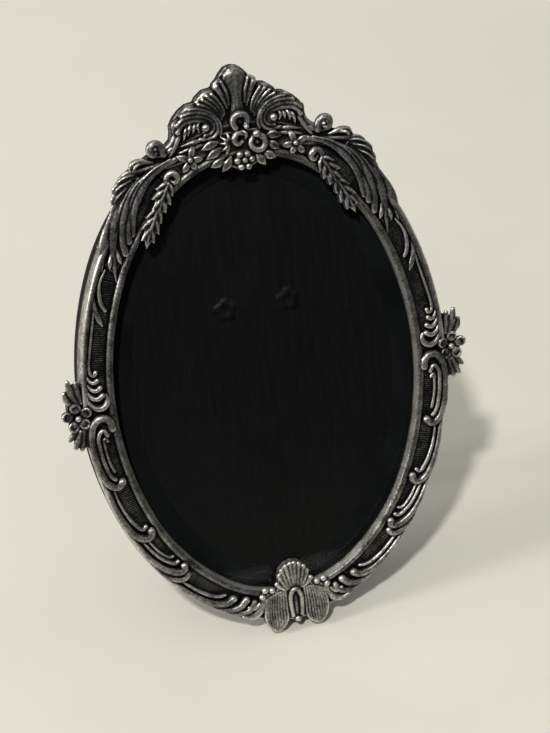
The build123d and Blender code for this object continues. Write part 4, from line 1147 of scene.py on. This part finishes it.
def bump_rise(x, z):
    """How far the paper stands forward over the five petals of an eyelet, with a dimple at its bore."""
    rise = 0
    for middle_x, middle_z in EYELETS:
        away = hypot(x - middle_x, z - middle_z)
        turn = atan2(z - middle_z, x - middle_x)
        edge = BUMP_R + BUMP_WAVE * abs(cos(EYELET_PETALS / 2 * (turn - pi / 2)))
        dome = min(1, max(0, (edge + BUMP_SOFT - away) / (2 * BUMP_SOFT)))
        dimple = min(1, max(0, (DIMPLE_R - away) / DIMPLE_SOFT))
        rise += BUMP_RISE * dome * dome * (3 - 2 * dome) - DIMPLE_DEPTH * dimple
    return rise


def cockle(x, z):
    """Shallow upright creases of paper that was once damp, fading toward its glued edge."""
    edge = hypot(x / LINING_HALF_W, z / LINING_HALF_H)
    fade = max(0, min(1, COCKLE_FADE * (1 - edge)))
    fine = perlin.noise((0.55 * x, 0, 0.05 * z))
    broad = perlin.noise((0.12 * x, 7, 0.03 * z))
    return fade * (0.10 * fine + 0.12 * broad)


bm = bmesh.new()
oval_disc(bm, LINING_OUT, LINING_DEPTH, LINING_RINGS, LINING_STEPS)
for vert in bm.verts:
    vert.co.y -= bump_rise(vert.co.x, vert.co.z) + cockle(vert.co.x, vert.co.z) - LINING_PRESS
lining = finish_piece(bm, "lining_paper", finishes["lining_paper"], sharp=0)
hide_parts("back_lining")

# %% Velvet back
COVER_OUT = 2.7
TURN_IN = 5.4
EDGE_R = 0.5


def round_corner(middle, first, last, steps=4):
    """Points of a small arc between two turns, as distance out and height in front of the seat."""
    turns = [radians(first + (last - first) * i / steps) for i in range(steps + 1)]
    return [(middle[0] + EDGE_R * cos(turn), middle[1] + EDGE_R * sin(turn)) for turn in turns]


front_edge = round_corner((COVER_OUT - EDGE_R, -BACK_FRONT - EDGE_R), 90, 0)
rear_edge = round_corner((COVER_OUT - EDGE_R, -BACK_REAR + EDGE_R), 0, -90)
turned_in = [(-TURN_IN, -BACK_FRONT - 0.12), (-TURN_IN + 0.25, -BACK_FRONT), (-1.0, -BACK_FRONT)]
wrap = turned_in + front_edge + rear_edge
bm = bmesh.new()
oval_disc(bm, COVER_OUT - EDGE_R, BACK_REAR, 12, 160)
spin_oval(bm, wrap, closed=False)
cover = finish_piece(bm, "velvet_back", finishes["velvet"])
thicken(cover)
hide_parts("back_cover")

# %% Velvet leg
PIN = (7.0, 14.3)
LEG_OPEN = radians(32)
LEG_TOP_Z = 11.95
LEG_FOOT_Z = -78.3
LEG_TOP_HALF = 13.0
LEG_FOOT_HALF = 23.0
LEG_CORNER_R = 4.0
LEG_CORNER_TURN = 83
LEG_CORNER_STEPS = 6
LEG_BEVEL = 0.45
LEG_FRONT = 5.45
LEG_REAR = 8.25
ARCH_HALF = 11.0
ARCH_RISE = 5.0
ARCH_STEPS = 12


def leg_outline():
    """Half of the leg's outline, from the middle of its top round the toe to the top of the arch."""
    top = [(0, LEG_TOP_Z), (LEG_TOP_HALF - LEG_CORNER_R, LEG_TOP_Z)]
    steps = range(1, LEG_CORNER_STEPS + 1)
    turns = [radians(90 - LEG_CORNER_TURN * i / LEG_CORNER_STEPS) for i in steps]
    x, z = LEG_TOP_HALF - LEG_CORNER_R, LEG_TOP_Z - LEG_CORNER_R
    corner = [(x + LEG_CORNER_R * cos(turn), z + LEG_CORNER_R * sin(turn)) for turn in turns]
    toe = [(LEG_FOOT_HALF, LEG_FOOT_Z)]
    radius = (ARCH_HALF**2 + ARCH_RISE**2) / (2 * ARCH_RISE)
    half_turn = atan2(ARCH_HALF, radius - ARCH_RISE)
    turns = [half_turn * (1 - i / ARCH_STEPS) for i in range(ARCH_STEPS + 1)]
    arch = [(radius * sin(turn), LEG_FOOT_Z + ARCH_RISE - radius + radius * cos(turn)) for turn in turns]
    return top + corner + toe + arch


half = leg_outline()
outline = half + [(-x, z) for x, z in reversed(half[1:-1])]
bm = bmesh.new()
face = bm.faces.new([bm.verts.new((x, LEG_FRONT, z)) for x, z in outline])
grown = bmesh.ops.extrude_face_region(bm, geom=[face])
moved = [item for item in grown["geom"] if isinstance(item, bmesh.types.BMVert)]
bmesh.ops.translate(bm, verts=moved, vec=(0, LEG_REAR - LEG_FRONT, 0))
bmesh.ops.recalc_face_normals(bm, faces=bm.faces)
rims = [edge for edge in bm.edges if abs(edge.verts[0].co.y - edge.verts[1].co.y) < 0.01]
bmesh.ops.bevel(bm, geom=rims, offset=LEG_BEVEL, segments=3, profile=0.5, affect="EDGES", material=-1)
to_pin = Matrix.Translation((0, *PIN))
from_pin = Matrix.Translation((0, -PIN[0], -PIN[1]))
bm.transform(to_pin @ Matrix.Rotation(LEG_OPEN, 4, "X") @ from_pin)
lying = stand.inverted()
cut = bmesh.ops.bisect_plane(
    bm, geom=list(bm.verts) + list(bm.edges) + list(bm.faces), clear_inner=True,
    plane_co=(lying @ Vector((0, 0, 0))) / MM, plane_no=lying.to_3x3() @ Vector((0, 0, 1)),
)
soles = [item for item in cut["geom_cut"] if isinstance(item, bmesh.types.BMEdge)]
bmesh.ops.edgenet_fill(bm, edges=soles)
bmesh.ops.recalc_face_normals(bm, faces=bm.faces)
leg = finish_piece(bm, "velvet_leg", finishes["velvet"], body="leg")
thicken(leg)
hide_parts("leg_cover")
print("leg reaches back to, mm:", round(max(vert.co.y for vert in leg.data.vertices) / MM, 1))
